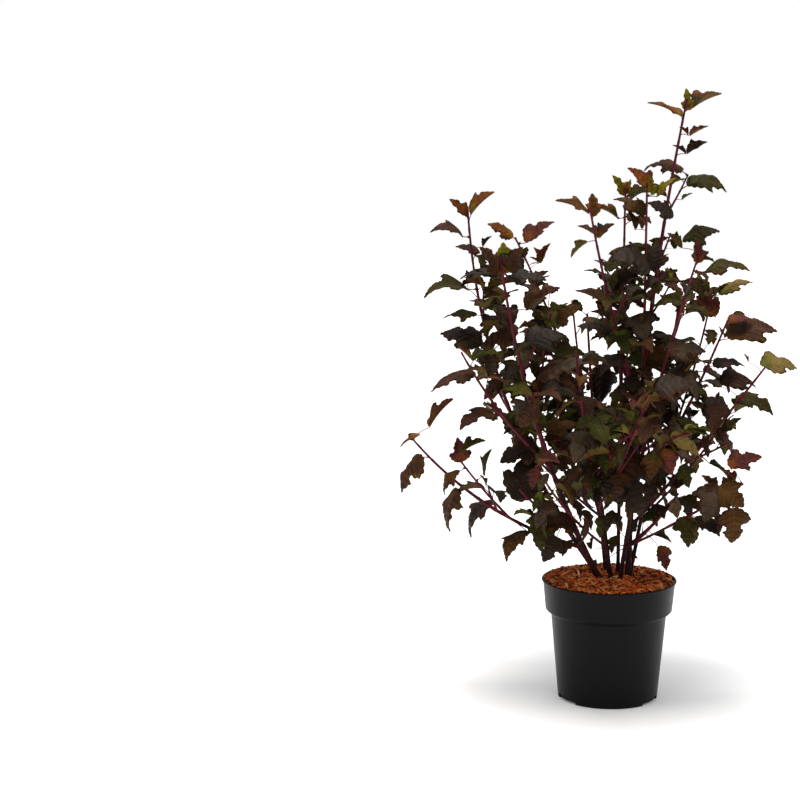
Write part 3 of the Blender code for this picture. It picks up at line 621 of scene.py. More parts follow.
class Mass:
    """One mass of foliage: a stem, its twigs, and leaves by a seeded rule."""

    def __init__(self, branch, index):
        self.branch = branch
        self.name = "foliage_" + branch.shoot.name
        self.rng = random.Random(100 + index)
        self.start = branch.shoot.bare
        if self.start:
            self.start += CLEARANCE / branch.path.length
        self.axes = [(branch.path, self.start, branch.radius_at)]
        self.borne, self.sprays = [], []
        self.alone = SIGHTED_ALONE.get(branch.shoot.name, 0.0)

    def grow_twigs(self, obstacles):
        """A short twig at every third leaf of the lower stem."""
        path = self.branch.path
        leafy = path.length * (1 - self.start)
        for i, distance in enumerate(leaf_stations(leafy)):
            if i % TWIG_EVERY or distance < TWIG_BELOW:
                continue
            share = 1 - distance / path.length
            length = self.rng.uniform(0.05, 0.09)
            for attempt in range(TWIG_TRIES):
                turn = GOLDEN_TURN * i + attempt * 1.1
                twig = self.twig_at(path, share, turn, length)
                points, faces = tube(twig, 0, 1, lambda _: TWIG_RADIUS, 3)
                if not in_sky(twig.tip) and not obstacles.meets(points, faces, (self.name,)):
                    obstacles.add(self.name, points, faces)
                    self.axes.append((twig, 0.15, lambda share: TWIG_RADIUS * (1.15 - 0.5 * share)))
                    break

    def twig_at(self, path, share, turn, length):
        ahead = path.outward(share, turn) + path.along(share) * 0.9 + Vector((0, 0, 0.5))
        root = path.at(share)
        return Path(root, root + ahead.normalized() * length, 0.04)

    def grow_leaves(self, obstacles, nearest_owner):
        for order, (path, start, _) in enumerate(self.axes):
            phase = self.rng.uniform(0, 2 * math.pi)
            for i, distance in enumerate(leaf_stations(path.length * (1 - start))):
                if distance < self.alone and not order:
                    continue
                self.try_leaf(path, distance, phase + GOLDEN_TURN * i, order, obstacles, nearest_owner)

    def try_leaf(self, path, distance, turn, order, obstacles, nearest_owner):
        """Adds one leaf, turned or made smaller until it fits its space, or none."""
        age = min(1.0, (distance + 0.03 * order) / GROWN_AT)
        grown = SMALL_LEAF + (LARGE_LEAF - SMALL_LEAF) * age
        size = grown * self.rng.uniform(0.82, 1.08)
        tilt = math.radians(50 - 44 * age + self.rng.uniform(-14, 14))
        roll = math.radians(self.rng.uniform(-22, 22))
        share = 1 - distance / path.length
        for attempt in range(LEAF_TRIES):
            swing = to_and_fro(attempt, TRY_TURN)
            smaller = size * (1 - TRY_SMALLER * attempt)
            leaf = leaf_on(path, share, turn + swing, age, smaller, tilt - TRY_LOWER * attempt, roll)
            points, faces = leaf_solid(leaf, LEAF_SPARE)
            if min(p.z for p in points) < GROUND + MULCH_CLEAR or spans_sky(leaf):
                continue
            if nearest_owner(leaf_point(leaf, HEART, 0.0)) != self.name or obstacles.hides(leaf):
                continue
            stalk, blade = (points[:PETIOLE_POINTS], faces[:PETIOLE_FACES]), (points, faces[PETIOLE_FACES:])
            if obstacles.meets(*blade) or obstacles.meets(*stalk, (self.name,)):
                continue
            obstacles.add(self.name, *blade)
            self.borne.append(Borne(leaf, age, path.along(share)))
            return

    def fit(self, leaf, obstacles, everywhere=True):
        """Takes a small leaf on where it has room."""
        points, faces = leaf_solid(leaf)
        blade = faces[PETIOLE_FACES:]
        if min(p.z for p in points) < GROUND + MULCH_CLEAR / 2 or spans_sky(leaf) or obstacles.hides(leaf):
            return False
        if obstacles.meets(points, blade, () if everywhere else (self.name,)):
            return False
        obstacles.add(self.name, points, blade)
        return True

    def grow_tip(self, rng, obstacles):
        """The folded young leaves round the growing point of each stem and twig."""
        for order, (path, start, _) in enumerate(self.axes):
            phase = rng.uniform(0, 2 * math.pi)
            if self.alone and not order:
                continue
            for i in range(2):
                size = (0.02 + 0.01 * i) * rng.uniform(0.9, 1.15)
                tilt = math.radians(72 - 12 * i + rng.uniform(-8, 8))
                share = 1 - (0.0005 + 0.004 * i) / path.length
                leaf = leaf_on(path, share, phase + GOLDEN_TURN * i, 0.0, size, tilt, rng.uniform(-0.3, 0.3))
                if self.fit(leaf, obstacles, everywhere=False):
                    self.borne.append(Borne(leaf, 0.02 * i, path.along(1.0)))

    def grow_sprays(self, rng, obstacles):
        """Finer twigs with a few small leaves each, in the room that the larger leaves leave."""
        for path, start, _ in list(self.axes):
            distance = rng.uniform(0.08, 0.12) + self.alone
            while distance < path.length * (1 - start):
                share = 1 - distance / path.length
                for attempt in range(SPRAY_TRIES):
                    twig = self.twig_at(path, share, rng.uniform(0, 2 * math.pi), rng.uniform(0.022, 0.055))
                    found = []
                    for i in range(SPRAY_LEAVES):
                        size = rng.uniform(0.022, 0.044)
                        tilt = math.radians(rng.uniform(-10, 45))
                        turn = GOLDEN_TURN * i + attempt
                        leaf = leaf_on(twig, 0.98 - 0.3 * i, turn, 0.4, size, tilt, rng.uniform(-0.5, 0.5))
                        if self.fit(leaf, obstacles):
                            found.append(Borne(leaf, rng.choice((0.1, 0.3, 0.6, 1.0)), twig.along(1.0)))
                    if found:
                        self.sprays.append(twig)
                        self.borne.extend(found)
                        break
                distance += rng.uniform(0.12, 0.22)


def grow_sighted(masses, obstacles):
    """The leaves that stand out in the photograph, each on a stem or twig close behind it."""
    rng = random.Random(900)
    stations = []
    for mass in masses:
        for path, start, _ in mass.axes:
            for i in range(STATIONS + 1):
                share = start + (LAST_STATION - start) * i / STATIONS
                stations.append((mass, path, share, *seen(path.at(share))))
    for row in (Sighted(*values) for values in SIGHTED):
        span = math.hypot(row.tip_x - row.x, row.tip_y - row.y)

        def cost(station):
            _, _, _, x, y, depth = station
            above = max(0.0, row.y - y) * (0.3 if row.tip_y > row.y else 0.9)
            beyond = DEPTH_COST * (depth - NEAREST_STEM)
            return abs(math.hypot(x - row.x, y - row.y) - 0.2 * span) + above + beyond

        mass, path, share, _, _, depth = min(stations, key=cost)
        root = path.at(share)
        for attempt in range(SIGHTED_TRIES):
            turned = rng.uniform(-SIGHTED_TURN, SIGHTED_TURN)
            leaf = sighted_leaf(row, root, depth + to_and_fro(attempt, TRY_DEPTH), turned)
            points, faces = leaf_solid(leaf)
            blade = faces[PETIOLE_FACES:]
            if not obstacles.meets(points, blade, (mass.name,) if attempt >= STRICT_TRIES else ()):
                break
        else:
            continue
        obstacles.add(mass.name, points, blade)
        obstacles.show(leaf)
        age = min(1.0, max(0.0, (leaf.length - 0.03) / 0.03))
        stem = path.along(share)
        if (leaf.base - root).length > 2 * STALK:
            fork = leaf.base - (leaf.base - root).normalized() * STALK
            twig = Path(root, fork, -0.06)
            mass.sprays.append(twig)
            leaf, stem = leaf._replace(root=fork), twig.along(1.0)
        mass.borne.append(Borne(leaf, age, stem, row.tone))


def grow(branches):
    """The foliage masses of all shoots. Stems come first, then twigs, then leaves from the top down."""
    obstacles = Obstacles()
    masses = [Mass(branch, i) for i, branch in enumerate(branches.values())]
    for branch in branches.values():
        if branch.shoot.bare:
            obstacles.add("limb", *tube(branch.path, 0, branch.shoot.bare, branch.radius_at, 6))
    for mass in masses:
        points, faces = tube(mass.branch.path, mass.start, 1, mass.branch.radius_at, 3)
        obstacles.add(mass.name, points, faces)
    for mass in masses:
        mass.grow_twigs(obstacles)
    spine = [
        (path.at(start + (1 - start) * i / 12), mass.name)
        for mass in masses
        for path, start, _ in mass.axes
        for i in range(13)
    ]
    tree = KDTree(len(spine))
    for i, (point, _) in enumerate(spine):
        tree.insert(point, i)
    tree.balance()

    def nearest_owner(point):
        return spine[tree.find(point)[1]][1]

    grow_sighted(masses, obstacles)
    for mass in sorted(masses, key=lambda m: -m.branch.path.tip.z):
        mass.grow_leaves(obstacles, nearest_owner)
    for index, mass in enumerate(masses):
        mass.grow_tip(random.Random(300 + index), obstacles)
    for index, mass in enumerate(masses):
        mass.grow_sprays(random.Random(500 + index), obstacles)
    return masses


def make_branches():
    branches = {}
    for shoot in SHOOTS:
        parent = branches[shoot.root[0]] if isinstance(shoot.root[0], str) else None
        branches[shoot.name] = Branch(shoot, parent)
    return branches


# Colours, as they look in plain white light, and the materials made of them


def linear(*colour):
    """A linear colour from one given in the usual 0 to 255 steps."""
    return tuple(((c / 255 + 0.055) / 1.055) ** 2.4 if c > 10 else c / 255 / 12.92 for c in colour)


class Nodes:
    """A short way to write a material's nodes."""

    def __init__(self, name):
        self.material = bpy.data.materials.new(name)
        self.material.use_nodes = True
        self.tree = self.material.node_tree
        self.shader = self.tree.nodes["Principled BSDF"]

    def add(self, kind, inputs=None, **settings):
        node = self.tree.nodes.new(kind)
        for key, value in settings.items():
            setattr(node, key, value)
        for key, value in (inputs or {}).items():
            self.put(node.inputs[key], value)
        return node

    def put(self, socket, value):
        if isinstance(value, bpy.types.NodeSocket):
            self.tree.links.new(value, socket)
        else:
            socket.default_value = value

    def set(self, **values):
        for key, value in values.items():
            name = key.replace("_", " ")
            if isinstance(value, tuple) and len(value) == 3:
                value = (*value, 1.0)
            self.put(self.shader.inputs[name], value)

    def noise(self, scale, detail=3.0, roughness=0.55, stretch=(1, 1, 1)):
        """A noise pattern in the object's own metres."""
        place = self.add("ShaderNodeTexCoord").outputs["Object"]
        if stretch != (1, 1, 1):
            place = self.add("ShaderNodeMapping", {"Vector": place, "Scale": stretch}).outputs[0]
        settings = {"Vector": place, "Scale": scale, "Detail": detail, "Roughness": roughness}
        return self.add("ShaderNodeTexNoise", settings).outputs["Fac"]

    def ramp(self, value, *stops):
        """Colours along a value, each stop a place and a linear colour."""
        node = self.add("ShaderNodeValToRGB", {"Fac": value})
        points = node.color_ramp.elements
        while len(points) < len(stops):
            points.new(0.5)
        for point, (place, colour) in zip(points, stops):
            point.position = place
            point.color = (*colour, 1.0)
        return node.outputs["Color"]

    def level(self, value, low, high, start=0.0, end=1.0):
        """The value's span from start to end, stretched to run from low to high."""
        settings = {"Value": value, "From Min": start, "From Max": end, "To Min": low, "To Max": high}
        return self.add("ShaderNodeMapRange", settings).outputs["Result"]

    def bump(self, height, distance, strength=0.5):
        settings = {"Height": height, "Distance": distance, "Strength": strength}
        self.put(self.shader.inputs["Normal"], self.add("ShaderNodeBump", settings).outputs["Normal"])


def shade(colour, factor):
    return tuple(c * factor for c in colour)


def leaf_material(name, colour, roughness, gloss):
    """A leaf's side: its plain colour in uneven tones, satin, with a fine crumpled relief."""
    made = Nodes(name)
    patches = made.noise(38.0, 3.0)
    tones = ((0.32, shade(colour, 0.68)), (0.5, colour), (0.7, shade(colour, 1.36)))
    rough = made.level(made.noise(160.0), roughness - 0.08, roughness + 0.1)
    made.set(Base_Color=made.ramp(patches, *tones), Roughness=rough, Specular_IOR_Level=gloss)
    made.bump(made.noise(210.0, 4.0, 0.6), 0.0022, 0.8)
    return made.material


def bark_material(name, dark, light, roughness, scale):
    """Bark in tones that run along the cane, rough, with fine ridges."""
    made = Nodes(name)
    streaks = made.noise(scale, 5.0, 0.6, (1, 1, 0.22))
    made.set(Base_Color=made.ramp(streaks, (0.36, linear(*dark)), (0.68, linear(*light))))
    made.set(Roughness=made.level(streaks, roughness - 0.1, roughness + 0.12), Specular_IOR_Level=0.14)
    made.bump(made.noise(scale * 3.2, 5.0, 0.6, (1, 1, 0.3)), 0.0014, 0.7)
    return made.material


def chip_material(name, colour):
    """A torn bark chip: fibrous, with darker and paler streaks."""
    made = Nodes(name)
    grain = made.noise(420.0, 4.0, 0.65)
    tones = ((0.3, shade(colour, 0.5)), (0.52, colour), (0.75, shade(colour, 1.5)))
    made.set(Base_Color=made.ramp(grain, *tones), Roughness=0.75, Specular_IOR_Level=0.2)
    made.bump(grain, 0.0012, 0.8)
    return made.material


def soil_material():
    # Damp soil, near black: darkened beyond its own colour as painted shade where it shows in the drain
    # notches
    made = Nodes("damp_soil")
    grain = made.noise(260.0, 6.0, 0.7)
    made.set(Base_Color=made.ramp(grain, (0.35, linear(8, 7, 6)), (0.7, linear(24, 18, 13))), Roughness=0.95)
    made.bump(grain, 0.003, 1.0)
    return made.material


def pot_material():
    """Moulded black plastic: satin, faintly uneven, with a little dust and water marks."""
    made = Nodes("moulded_black_plastic")
    dust = made.noise(11.0, 6.0, 0.7, (1, 1, 0.45))
    marks = made.noise(190.0, 3.0, 0.8)
    base = made.ramp(dust, (0.35, linear(3, 3, 6)), (0.62, linear(6, 6, 10)), (0.8, linear(13, 13, 18)))
    spots = made.ramp(marks, (0.0, (0, 0, 0)), (0.72, (0, 0, 0)), (0.8, (1, 1, 1)))
    tones = {"Factor": made.level(spots, 0.0, 0.1), "A": base, "B": (*linear(120, 118, 112), 1.0)}
    mixed = made.add("ShaderNodeMix", tones, data_type="RGBA").outputs["Result"]
    rough = made.level(dust, 0.34, 0.5, 0.3, 0.75)
    made.set(Base_Color=mixed, Roughness=rough, Specular_IOR_Level=0.12)
    made.bump(made.noise(520.0, 2.0), 0.0006, 0.25)
    return made.material


# Leaf tones: the upper side, the underside, and the veins
TONES = {
    "plum": ((66, 41, 30), (76, 57, 30), (100, 66, 48)),
    "dusk": ((42, 30, 21), (54, 45, 26), (72, 54, 42)),
    # The ash tone is a leaf colour greyed as a painted sheen; it is glossier as well
    "ash": ((67, 52, 38), (76, 64, 37), (96, 76, 58)),
    "umber": ((76, 49, 22), (84, 66, 24), (108, 80, 44)),
    "olive": ((58, 50, 21), (75, 69, 27), (98, 90, 50)),
    "green": ((50, 50, 19), (76, 78, 22), (94, 94, 42)),
    "moss": ((88, 88, 32), (94, 96, 34), (120, 114, 58)),
    "straw": ((108, 90, 46), (114, 98, 50), (140, 108, 64)),
    "wine": ((80, 38, 32), (92, 54, 32), (124, 70, 56)),
    "red": ((102, 50, 44), (108, 60, 46), (164, 104, 92)),
    "bronze": ((106, 57, 22), (104, 72, 22), (138, 88, 42)),
    "young": ((114, 84, 22), (116, 92, 24), (140, 112, 46)),
    "lime": ((106, 104, 18), (116, 114, 26), (140, 138, 52)),
}
GLOSSY = ("dusk", "ash")
TONE_NAMES = list(TONES)

# The tone round a leaf's base where it isn't its own
BASES = {"plum": "umber", "dusk": "dusk", "ash": "plum", "umber": "olive", "olive": "green", "green": "moss",
         "moss": "straw", "straw": "moss", "wine": "bronze", "red": "bronze", "bronze": "young",
         "young": "lime", "lime": "young"}
BASE_TONE = [TONE_NAMES.index(BASES[name]) for name in TONE_NAMES]


def leaf_materials():
    """Upper side, its painted crease shade along the side veins, underside and vein of each tone, in this
    order.
    """
    made = []
    for name, (upper, under, vein) in TONES.items():
        gloss = 0.11 if name in GLOSSY else 0.04
        for part, tone, lighter, roughness, shine in (
            ("upper", upper, 1.03, 0.44, gloss),
            # The crease material is the upper colour darkened: painted shade along the side veins; the upper
            # is a little lighter to keep the leaf's mean
            ("crease", upper, 0.8, 0.44, gloss),
            ("under", under, 1.0, 0.68, 0.1),
            ("vein", vein, 1.0, 0.6, 0.25),
        ):
            made.append(leaf_material(f"leaf_{name}_{part}", shade(linear(*tone), lighter), roughness, shine))
    return made


# Meshes


def on_circle(radius, step, steps):
    turn = 2 * math.pi * step / steps
    return radius * math.cos(turn), radius * math.sin(turn)


def linked(name, data):
    """A new object of the scene."""
    made = bpy.data.objects.new(name, data)
    bpy.context.scene.collection.objects.link(made)
    return made


class Builder:
    """Gathers points and faces of many shapes for one joined mesh."""

    def __init__(self):
        self.points, self.faces, self.kinds = [], [], []
        self.count = 0

    def add(self, points, faces, kinds):
        """kinds is one material index for all the faces, or one for each."""
        self.points.append(np.asarray(points, float))
        self.faces.extend(tuple(i + self.count for i in face) for face in faces)
        self.kinds.extend([kinds] * len(faces) if isinstance(kinds, int) else kinds)
        self.count += len(points)

    def triangles(self):
        return sum(len(face) - 2 for face in self.faces)

    def make(self, name, materials, smooth=True):
        mesh = bpy.data.meshes.new(name)
        mesh.from_pydata(np.concatenate(self.points).tolist(), [], self.faces)
        for material in materials:
            mesh.materials.append(material)
        mesh.polygons.foreach_set("material_index", self.kinds)
        mesh.polygons.foreach_set("use_smooth", [smooth] * len(self.faces))
        return linked(name, mesh)


def settle(piece, slot, *nodes):
    """Hides the parts that a piece stands for, and lets it ride on the one body."""
    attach(piece, "root")
    if nodes:
        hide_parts(*nodes)
    return piece


# Leaves: three-lobed blades with a toothed margin, quilted between their veins

# The margin of one half from the stalk to the tip, as shares of the length: along the midrib, and aside
MARGIN = [
    (0.0, 0.0),
    (-0.03, 0.09),
    (0.0, 0.2),
    (0.08, 0.315),
    (0.2, 0.405),
    (0.345, 0.455),
    (0.4, 0.365),
    (0.43, 0.265),
    (0.455, 0.2),
    (0.53, 0.232),
    (0.62, 0.248),
    (0.74, 0.2),
    (0.88, 0.1),
    (1.0, 0.0),
]
# How much further ahead these points lie in a leaf with a wedge-shaped base
WEDGE = (0, 0.07, 0.115, 0.15, 0.16, 0.13, 0.11, 0.09, 0.075, 0.045, 0.02, 0, 0, 0)
LOBE, SINUS_POINT = 5, 8
TOOTH_STEPS = (-0.9, 0.3, 0.8, 0.5)
TOOTH, SECOND_TOOTH = 0.026, 0.6
VEINED_STEP = 2
QUILT = 0.024
BLADE_THICKNESS = 0.0004


class Pattern:
    """A flat leaf: rows of points from the midrib to the margin, with saw teeth, its faces and its veins."""

    def __init__(self, teeth, columns, lobing=1.0, width=1.0, wedge=0.5):
        rows = self.rows = teeth * len(TOOTH_STEPS)
        line = np.array([(x + wedge * ahead, y * width) for (x, y), ahead in zip(MARGIN, WEDGE)])
        line[SINUS_POINT - 1:SINUS_POINT + 2, 1] *= lobing
        steps = np.r_[0, np.cumsum(np.linalg.norm(np.diff(line, axis=0), axis=1))]
        shares = np.linspace(0, 1, rows + 1)
        margin = np.stack([np.interp(shares * steps[-1], steps, line[:, k]) for k in (0, 1)], 1)
        ahead = np.gradient(margin, axis=0)
        ahead /= np.linalg.norm(ahead, axis=1)[:, None] + 1e-9
        outward = np.stack([-ahead[:, 1], ahead[:, 0]], 1)
        step_in_tooth = np.arange(rows + 1) % len(TOOTH_STEPS)
        tooth = np.array(TOOTH_STEPS)[step_in_tooth] * TOOTH
        tooth[np.arange(rows + 1) // len(TOOTH_STEPS) % 2 == 1] *= SECOND_TOOTH
        tooth *= np.sin(np.pi * np.clip(shares, 0.02, 0.98)) ** 0.3
        tooth[[0, -1]] = 0
        margin = margin + (outward + ahead * 0.5) * tooth[:, None]
        lobe_share = steps[LOBE] / steps[-1]
        rest = (shares - lobe_share) / (1 - lobe_share)
        rib = np.where(shares < lobe_share, 0.13 * shares / lobe_share, 0.13 + 0.87 * rest)
        veined = step_in_tooth == VEINED_STEP
        self.places, self.index, edge = [], {}, set()
        for i in range(rows + 1):
            for side in (0, 1, -1):
                for j in range(columns + 1):
                    if (j == 0) != (side == 0) or (i in (0, rows) and j):
                        continue
                    t = (j / columns) ** 0.8
                    x = rib[i] * (1 - t) + margin[i, 0] * t
                    bulge = 0.0 if veined[i] else QUILT * math.sin(math.pi * (0.12 + 0.76 * t))
                    if j == columns or i in (0, rows):
                        edge.add(len(self.places))
                    self.index[i, side, j] = len(self.places)
                    self.places.append((x, margin[i, 1] * t * side, bulge - (0.008 if j == 0 else 0)))
        top, self.inner, self.crease, self.from_base = [], [], [], []
        for i in range(rows):
            for side in (1, -1):
                for j in range(columns):
                    corners = [self.at(i, side, j), self.at(i + 1, side, j)]
                    corners += [self.at(i + 1, side, j + 1), self.at(i, side, j + 1)]
                    corners = list(dict.fromkeys(corners))
                    if len(corners) > 2:
                        top.append(tuple(corners if side == 1 else corners[::-1]))
                        self.inner.append(j < columns - 1)
                        # Faces beside a side vein are marked for the painted crease shade
                        self.crease.append(int(veined[i]))
                        spans = [math.hypot(*self.places[n][:2]) for n in corners]
                        self.from_base.append(float(np.mean(spans)))
        inner = [n for n in range(len(self.places)) if n not in edge]
        below = {n: len(self.places) + k for k, n in enumerate(inner)}
        self.faces = top + [tuple(below.get(n, n) for n in face[::-1]) for face in top]
        lift = [0.0 if n in edge else 0.5 for n in range(len(self.places))]
        self.lift = np.array(lift + [-0.5] * len(inner))
        self.places = np.array(self.places + [self.places[n] for n in inner])
        t = np.linspace(0.0, 0.86, 3)
        midrib = np.linspace((0.0, 0.0, 0.0), (0.96, 0.0, 0.0), 8)
        self.veins = [(midrib, (0.0, 0.0085, 0.0))]
        for i in np.flatnonzero(veined):
            for side in (1, -1):
                line = np.stack([rib[i] * (1 - t) + margin[i, 0] * t, side * margin[i, 1] * t, 0 * t], 1)
                self.veins.append((line, (0.0052, 0.0, 0.0)))

    def at(self, i, side, j):
        if j == 0 or i in (0, self.rows):
            return self.index[i, 0, 0]
        return self.index[i, side, j]


# How a blade bends: its halves fold up, their edges curl back, one side more than the other, the tip droops,
# and the whole twists and sways aside
Bend = namedtuple("Bend", "slim fold curl uneven droop twist sway ripple phase")


def bend_of(rng, age, hanging):
    """How a leaf of some age bends. Young leaves are folded, and old ones curl back."""
    return Bend(
        slim=0.68 + 0.32 * min(1.0, age * 1.6),
        fold=(1 - age) * rng.uniform(0.6, 1.1) + age * rng.uniform(0.2, 0.6 if hanging else 0.7),
        curl=age * rng.uniform(0.2, 1.0 if hanging else 0.8),
        uneven=rng.uniform(-0.35, 0.35),
        droop=rng.uniform(0.0, 0.1) * (1 + age),
        twist=rng.gauss(0, 0.25),
        sway=rng.uniform(-0.11, 0.11),
        ripple=rng.uniform(0.04, 0.14),
        phase=rng.uniform(0, 2 * math.pi),
    )


def on_blade(leaf, bend, places, lift):
    """Points of a bent blade from the flat leaf's: along, aside and relief, as shares of its length."""
    along, aside, relief = places[:, 0], places[:, 1] * bend.slim, places[:, 2]
    base, ahead, side, up = (np.array(v) for v in (leaf.base, leaf.direction, leaf.side, leaf.up))
    turn = leaf.arch * along
    reach = leaf.length / leaf.arch
    normal = np.cos(turn)[:, None] * up + np.sin(turn)[:, None] * ahead
    reached = (reach * np.sin(turn))[:, None] * ahead - (reach * (1 - np.cos(turn)))[:, None] * up
    out = np.abs(aside)
    height = bend.fold * out * (1 + bend.uneven * np.sign(aside)) - bend.curl * out * out + relief
    height = height + bend.ripple * out * np.sin(along * 11.0 + bend.phase + np.sign(aside) * 1.3)
    height = height - bend.droop * np.clip(along, 0, 1) ** 3
    twist = (bend.twist * along)[:, None]
    across = (aside + bend.sway * along * along)[:, None]
    height = height[:, None]
    over = height * np.cos(twist) + across * np.sin(twist)
    across = across * np.cos(twist) - height * np.sin(twist)
    thick = (lift * BLADE_THICKNESS)[:, None]
    return base + reached + side * across * leaf.length + normal * (over * leaf.length + thick)


def add_leaf(builder, leaf, pattern, bend, tones, veined, reach):
    """One leaf in a builder, in one tone near its midrib, one at its margin and one round its base.

    A tone has four materials, in the order of leaf_materials.
    """
    tone, edge_tone = tones
    sides = [4 * (tone if inner else edge_tone) for inner in pattern.inner]
    sides = [4 * BASE_TONE[tone] if span < reach else side for side, span in zip(sides, pattern.from_base)]
    # Faces beside the side veins take the darker crease material: painted shade
    kinds = [kind + crease for kind, crease in zip(sides, pattern.crease)] + [kind + 2 for kind in sides]
    builder.add(on_blade(leaf, bend, pattern.places, pattern.lift), pattern.faces, kinds)
    if not veined:
        return
    for line, half in pattern.veins:
        taper = np.linspace(1.0, 0.4, len(line))[:, None]
        rows = []
        for across, rise in ((-1, 0.0), (0, 0.0075), (1, 0.0), (0, -0.008)):
            place = line + taper * half * across + (0, 0, rise)
            rows.append(on_blade(leaf, bend, place, np.zeros(len(place))))
        builder.add(np.stack(rows, 1).reshape(-1, 3), skin(len(line), 4), 4 * tone + 3)


# Wood

# The dark and the light tone of each kind of bark, its roughness, and how fine its streaks are
BARKS = {
    "cane_bark": ((22, 10, 10), (76, 30, 32), 0.72, 120.0),
    "bough_bark": ((34, 11, 16), (88, 28, 36), 0.62, 120.0),
    "shoot_skin": ((64, 14, 24), (112, 28, 42), 0.45, 150.0),
    "twig_skin": ((66, 18, 26), (110, 34, 42), 0.5, 150.0),
    "stalk_skin": ((90, 25, 28), (134, 52, 42), 0.48, 150.0),
}

# How far apart the swollen nodes stand, and how far each reaches
NODE_GAP, NODE_REACH = 0.034, 0.0028


def ridged(turn, height, seed):
    """The bark's relief at a turn round the stem and a height: long ridges and small cracks."""
    around = Vector((math.cos(turn) * 1.7 + seed * 3.1, math.sin(turn) * 1.7, height * 24))
    fine = Vector((math.cos(turn) * 4.2, math.sin(turn) * 4.2 + seed, height * 90))
    return noise.noise(around) + 0.5 * noise.noise(fine)


def rod(path, start, end, radius_at, sides, step, relief=0.0, seed=0.0, nodes=0.0):
    """Points and faces of a round stem, with ridges of bark, and swollen a little at its nodes."""
    rings = max(2, math.ceil((end - start) * path.length / step) + 1)
    points = []
    for i in range(rings):
        share = start + (end - start) * i / (rings - 1)
        middle = path.at(share)
        radius = radius_at(share)
        if nodes:
            past = (share * path.length / NODE_GAP + seed * 0.37) % 1.0
            radius *= 1 + nodes * math.exp(-((min(past, 1 - past) * NODE_GAP / NODE_REACH) ** 2))
        for k in range(sides):
            turn = 2 * math.pi * k / sides
            rough = 1.0 + (relief * ridged(turn, middle.z, seed) if relief else 0.0)
            points.append(middle + path.outward(share, turn) * radius * rough)
    return points, skin(rings, sides)


class Stalk(Curve):
    """A leaf's stalk: it leaves the stem steeply and bends out to the blade."""

    def __init__(self, leaf, stem_direction):
        self.root, self.tip = leaf.root, leaf.base
        length = (self.tip - self.root).length
        ahead = (self.tip - self.root).normalized()
        self.knee = (self.root + self.tip) / 2 + (stem_direction - ahead) * length * 0.22
        self.across, self.length = leaf.side, length


def bud(place, direction, size):
    """A small pointed bud in a leaf's axil."""
    ahead = direction.normalized()
    side = ahead.orthogonal().normalized()
    over = ahead.cross(side)
    ring = [side * math.cos(a) + over * math.sin(a) for a in (0, 1.2566, 2.5133, 3.7699, 5.0265)]
    points = [place] + [place + ahead * size * 0.4 + r * size * 0.3 for r in ring] + [place + ahead * size]
    faces = [(0, 1 + (k + 1) % 5, 1 + k) for k in range(5)] + [(6, 1 + k, 1 + (k + 1) % 5) for k in range(5)]
    return points, faces


# The plant

# A sighted leaf with more arch than this is less folded, and a leaf of this length shows its veins
GROWN_ARCH, GROWN_LENGTH = math.radians(38), 0.045

# Leaf forms: how wide the blade is between its lobes, how wide it is in all, and how wedge-shaped at its base
FORMS = ((1.0, 1.0, 0.8), (0.85, 1.08, 0.3), (1.2, 0.94, 1.0), (0.95, 0.96, 0.6), (1.1, 1.12, 0.9))

# How deep a cane reaches into the bark mulch, and how far apart a stem's rings of points are
CANE_SINK = 0.006
CANE_STEP, TWIG_STEP, STALK_STEP = 0.003, 0.004, 0.006

# A joined piece of leaves is closed at so many triangles
LEAF_TRIANGLES = 130000


def tone_pairs(*rows):
    """Pairs of tones, near the midrib and at the margin, from rows of names."""
    return [[TONE_NAMES.index(name) for name in pair.split()] for row in rows for pair in row.split(", ")]


SIGHTED_TONES = {
    "fresh": tone_pairs("lime young, young lime, lime bronze"),
    "bronze": tone_pairs("umber bronze, bronze umber, bronze wine"),
    "pale": tone_pairs("bronze young, young umber"),
    "umber": tone_pairs("umber umber, umber plum, plum umber"),
    "olive": tone_pairs("olive umber, olive olive, umber olive"),
    "green": tone_pairs("green olive, green green"),
    "wine": tone_pairs("wine plum, wine wine"),
    "red": tone_pairs("red red"),
    "moss": tone_pairs("moss moss"),
    "straw": tone_pairs("straw straw"),
    "ash": tone_pairs("ash ash, ash plum, ash dusk"),
    "plum": tone_pairs("plum plum, plum umber, plum dusk"),
    # Leaves that are dark in the crown's shade take dusky tones: partly their own colour, partly painted
    # shade
    "dark": tone_pairs("dusk dusk, dusk plum, plum dusk, dusk dusk"),
}

# The tones of the other leaves, by their age and height; the low ones dusky, partly their own colour and
# partly painted shade
FRESH_TIPS = tone_pairs("lime young, young lime, lime bronze, lime bronze")
HIGH_TIPS = tone_pairs("bronze umber, bronze wine, umber umber, wine plum, umber plum")
LOW_TIPS = tone_pairs("green olive, olive umber, olive dusk, umber plum, wine plum, plum dusk")
LOW_LEAVES = tone_pairs("dusk dusk, green olive, olive dusk, ash dusk, umber dusk, plum dusk, green green",
                        "dusk dusk, plum plum, olive olive")
TOP_LEAVES = tone_pairs("umber plum, umber umber, bronze umber, olive umber, plum umber, wine plum")
YOUNG_LEAVES = tone_pairs("umber plum, plum plum, olive dusk, olive umber, dusk plum, ash plum, dusk dusk")
OLD_LEAVES = tone_pairs("plum dusk, umber plum, dusk dusk, olive umber, ash dusk, green olive, olive dusk",
                        "plum plum")
TIP_AGE, YOUNG_AGE = 0.3, 0.7
LOW_HEIGHT, TIP_HEIGHT, TOP_HEIGHT = 0.5, 0.68, 0.75

# How often the youngest leaves of a shoot are fresh green
FRESHNESS = {"left_front": 0.9, "centre_front": 0.75, "upper_right": 0.8, "leader": 0.4, "right_front": 0.4}


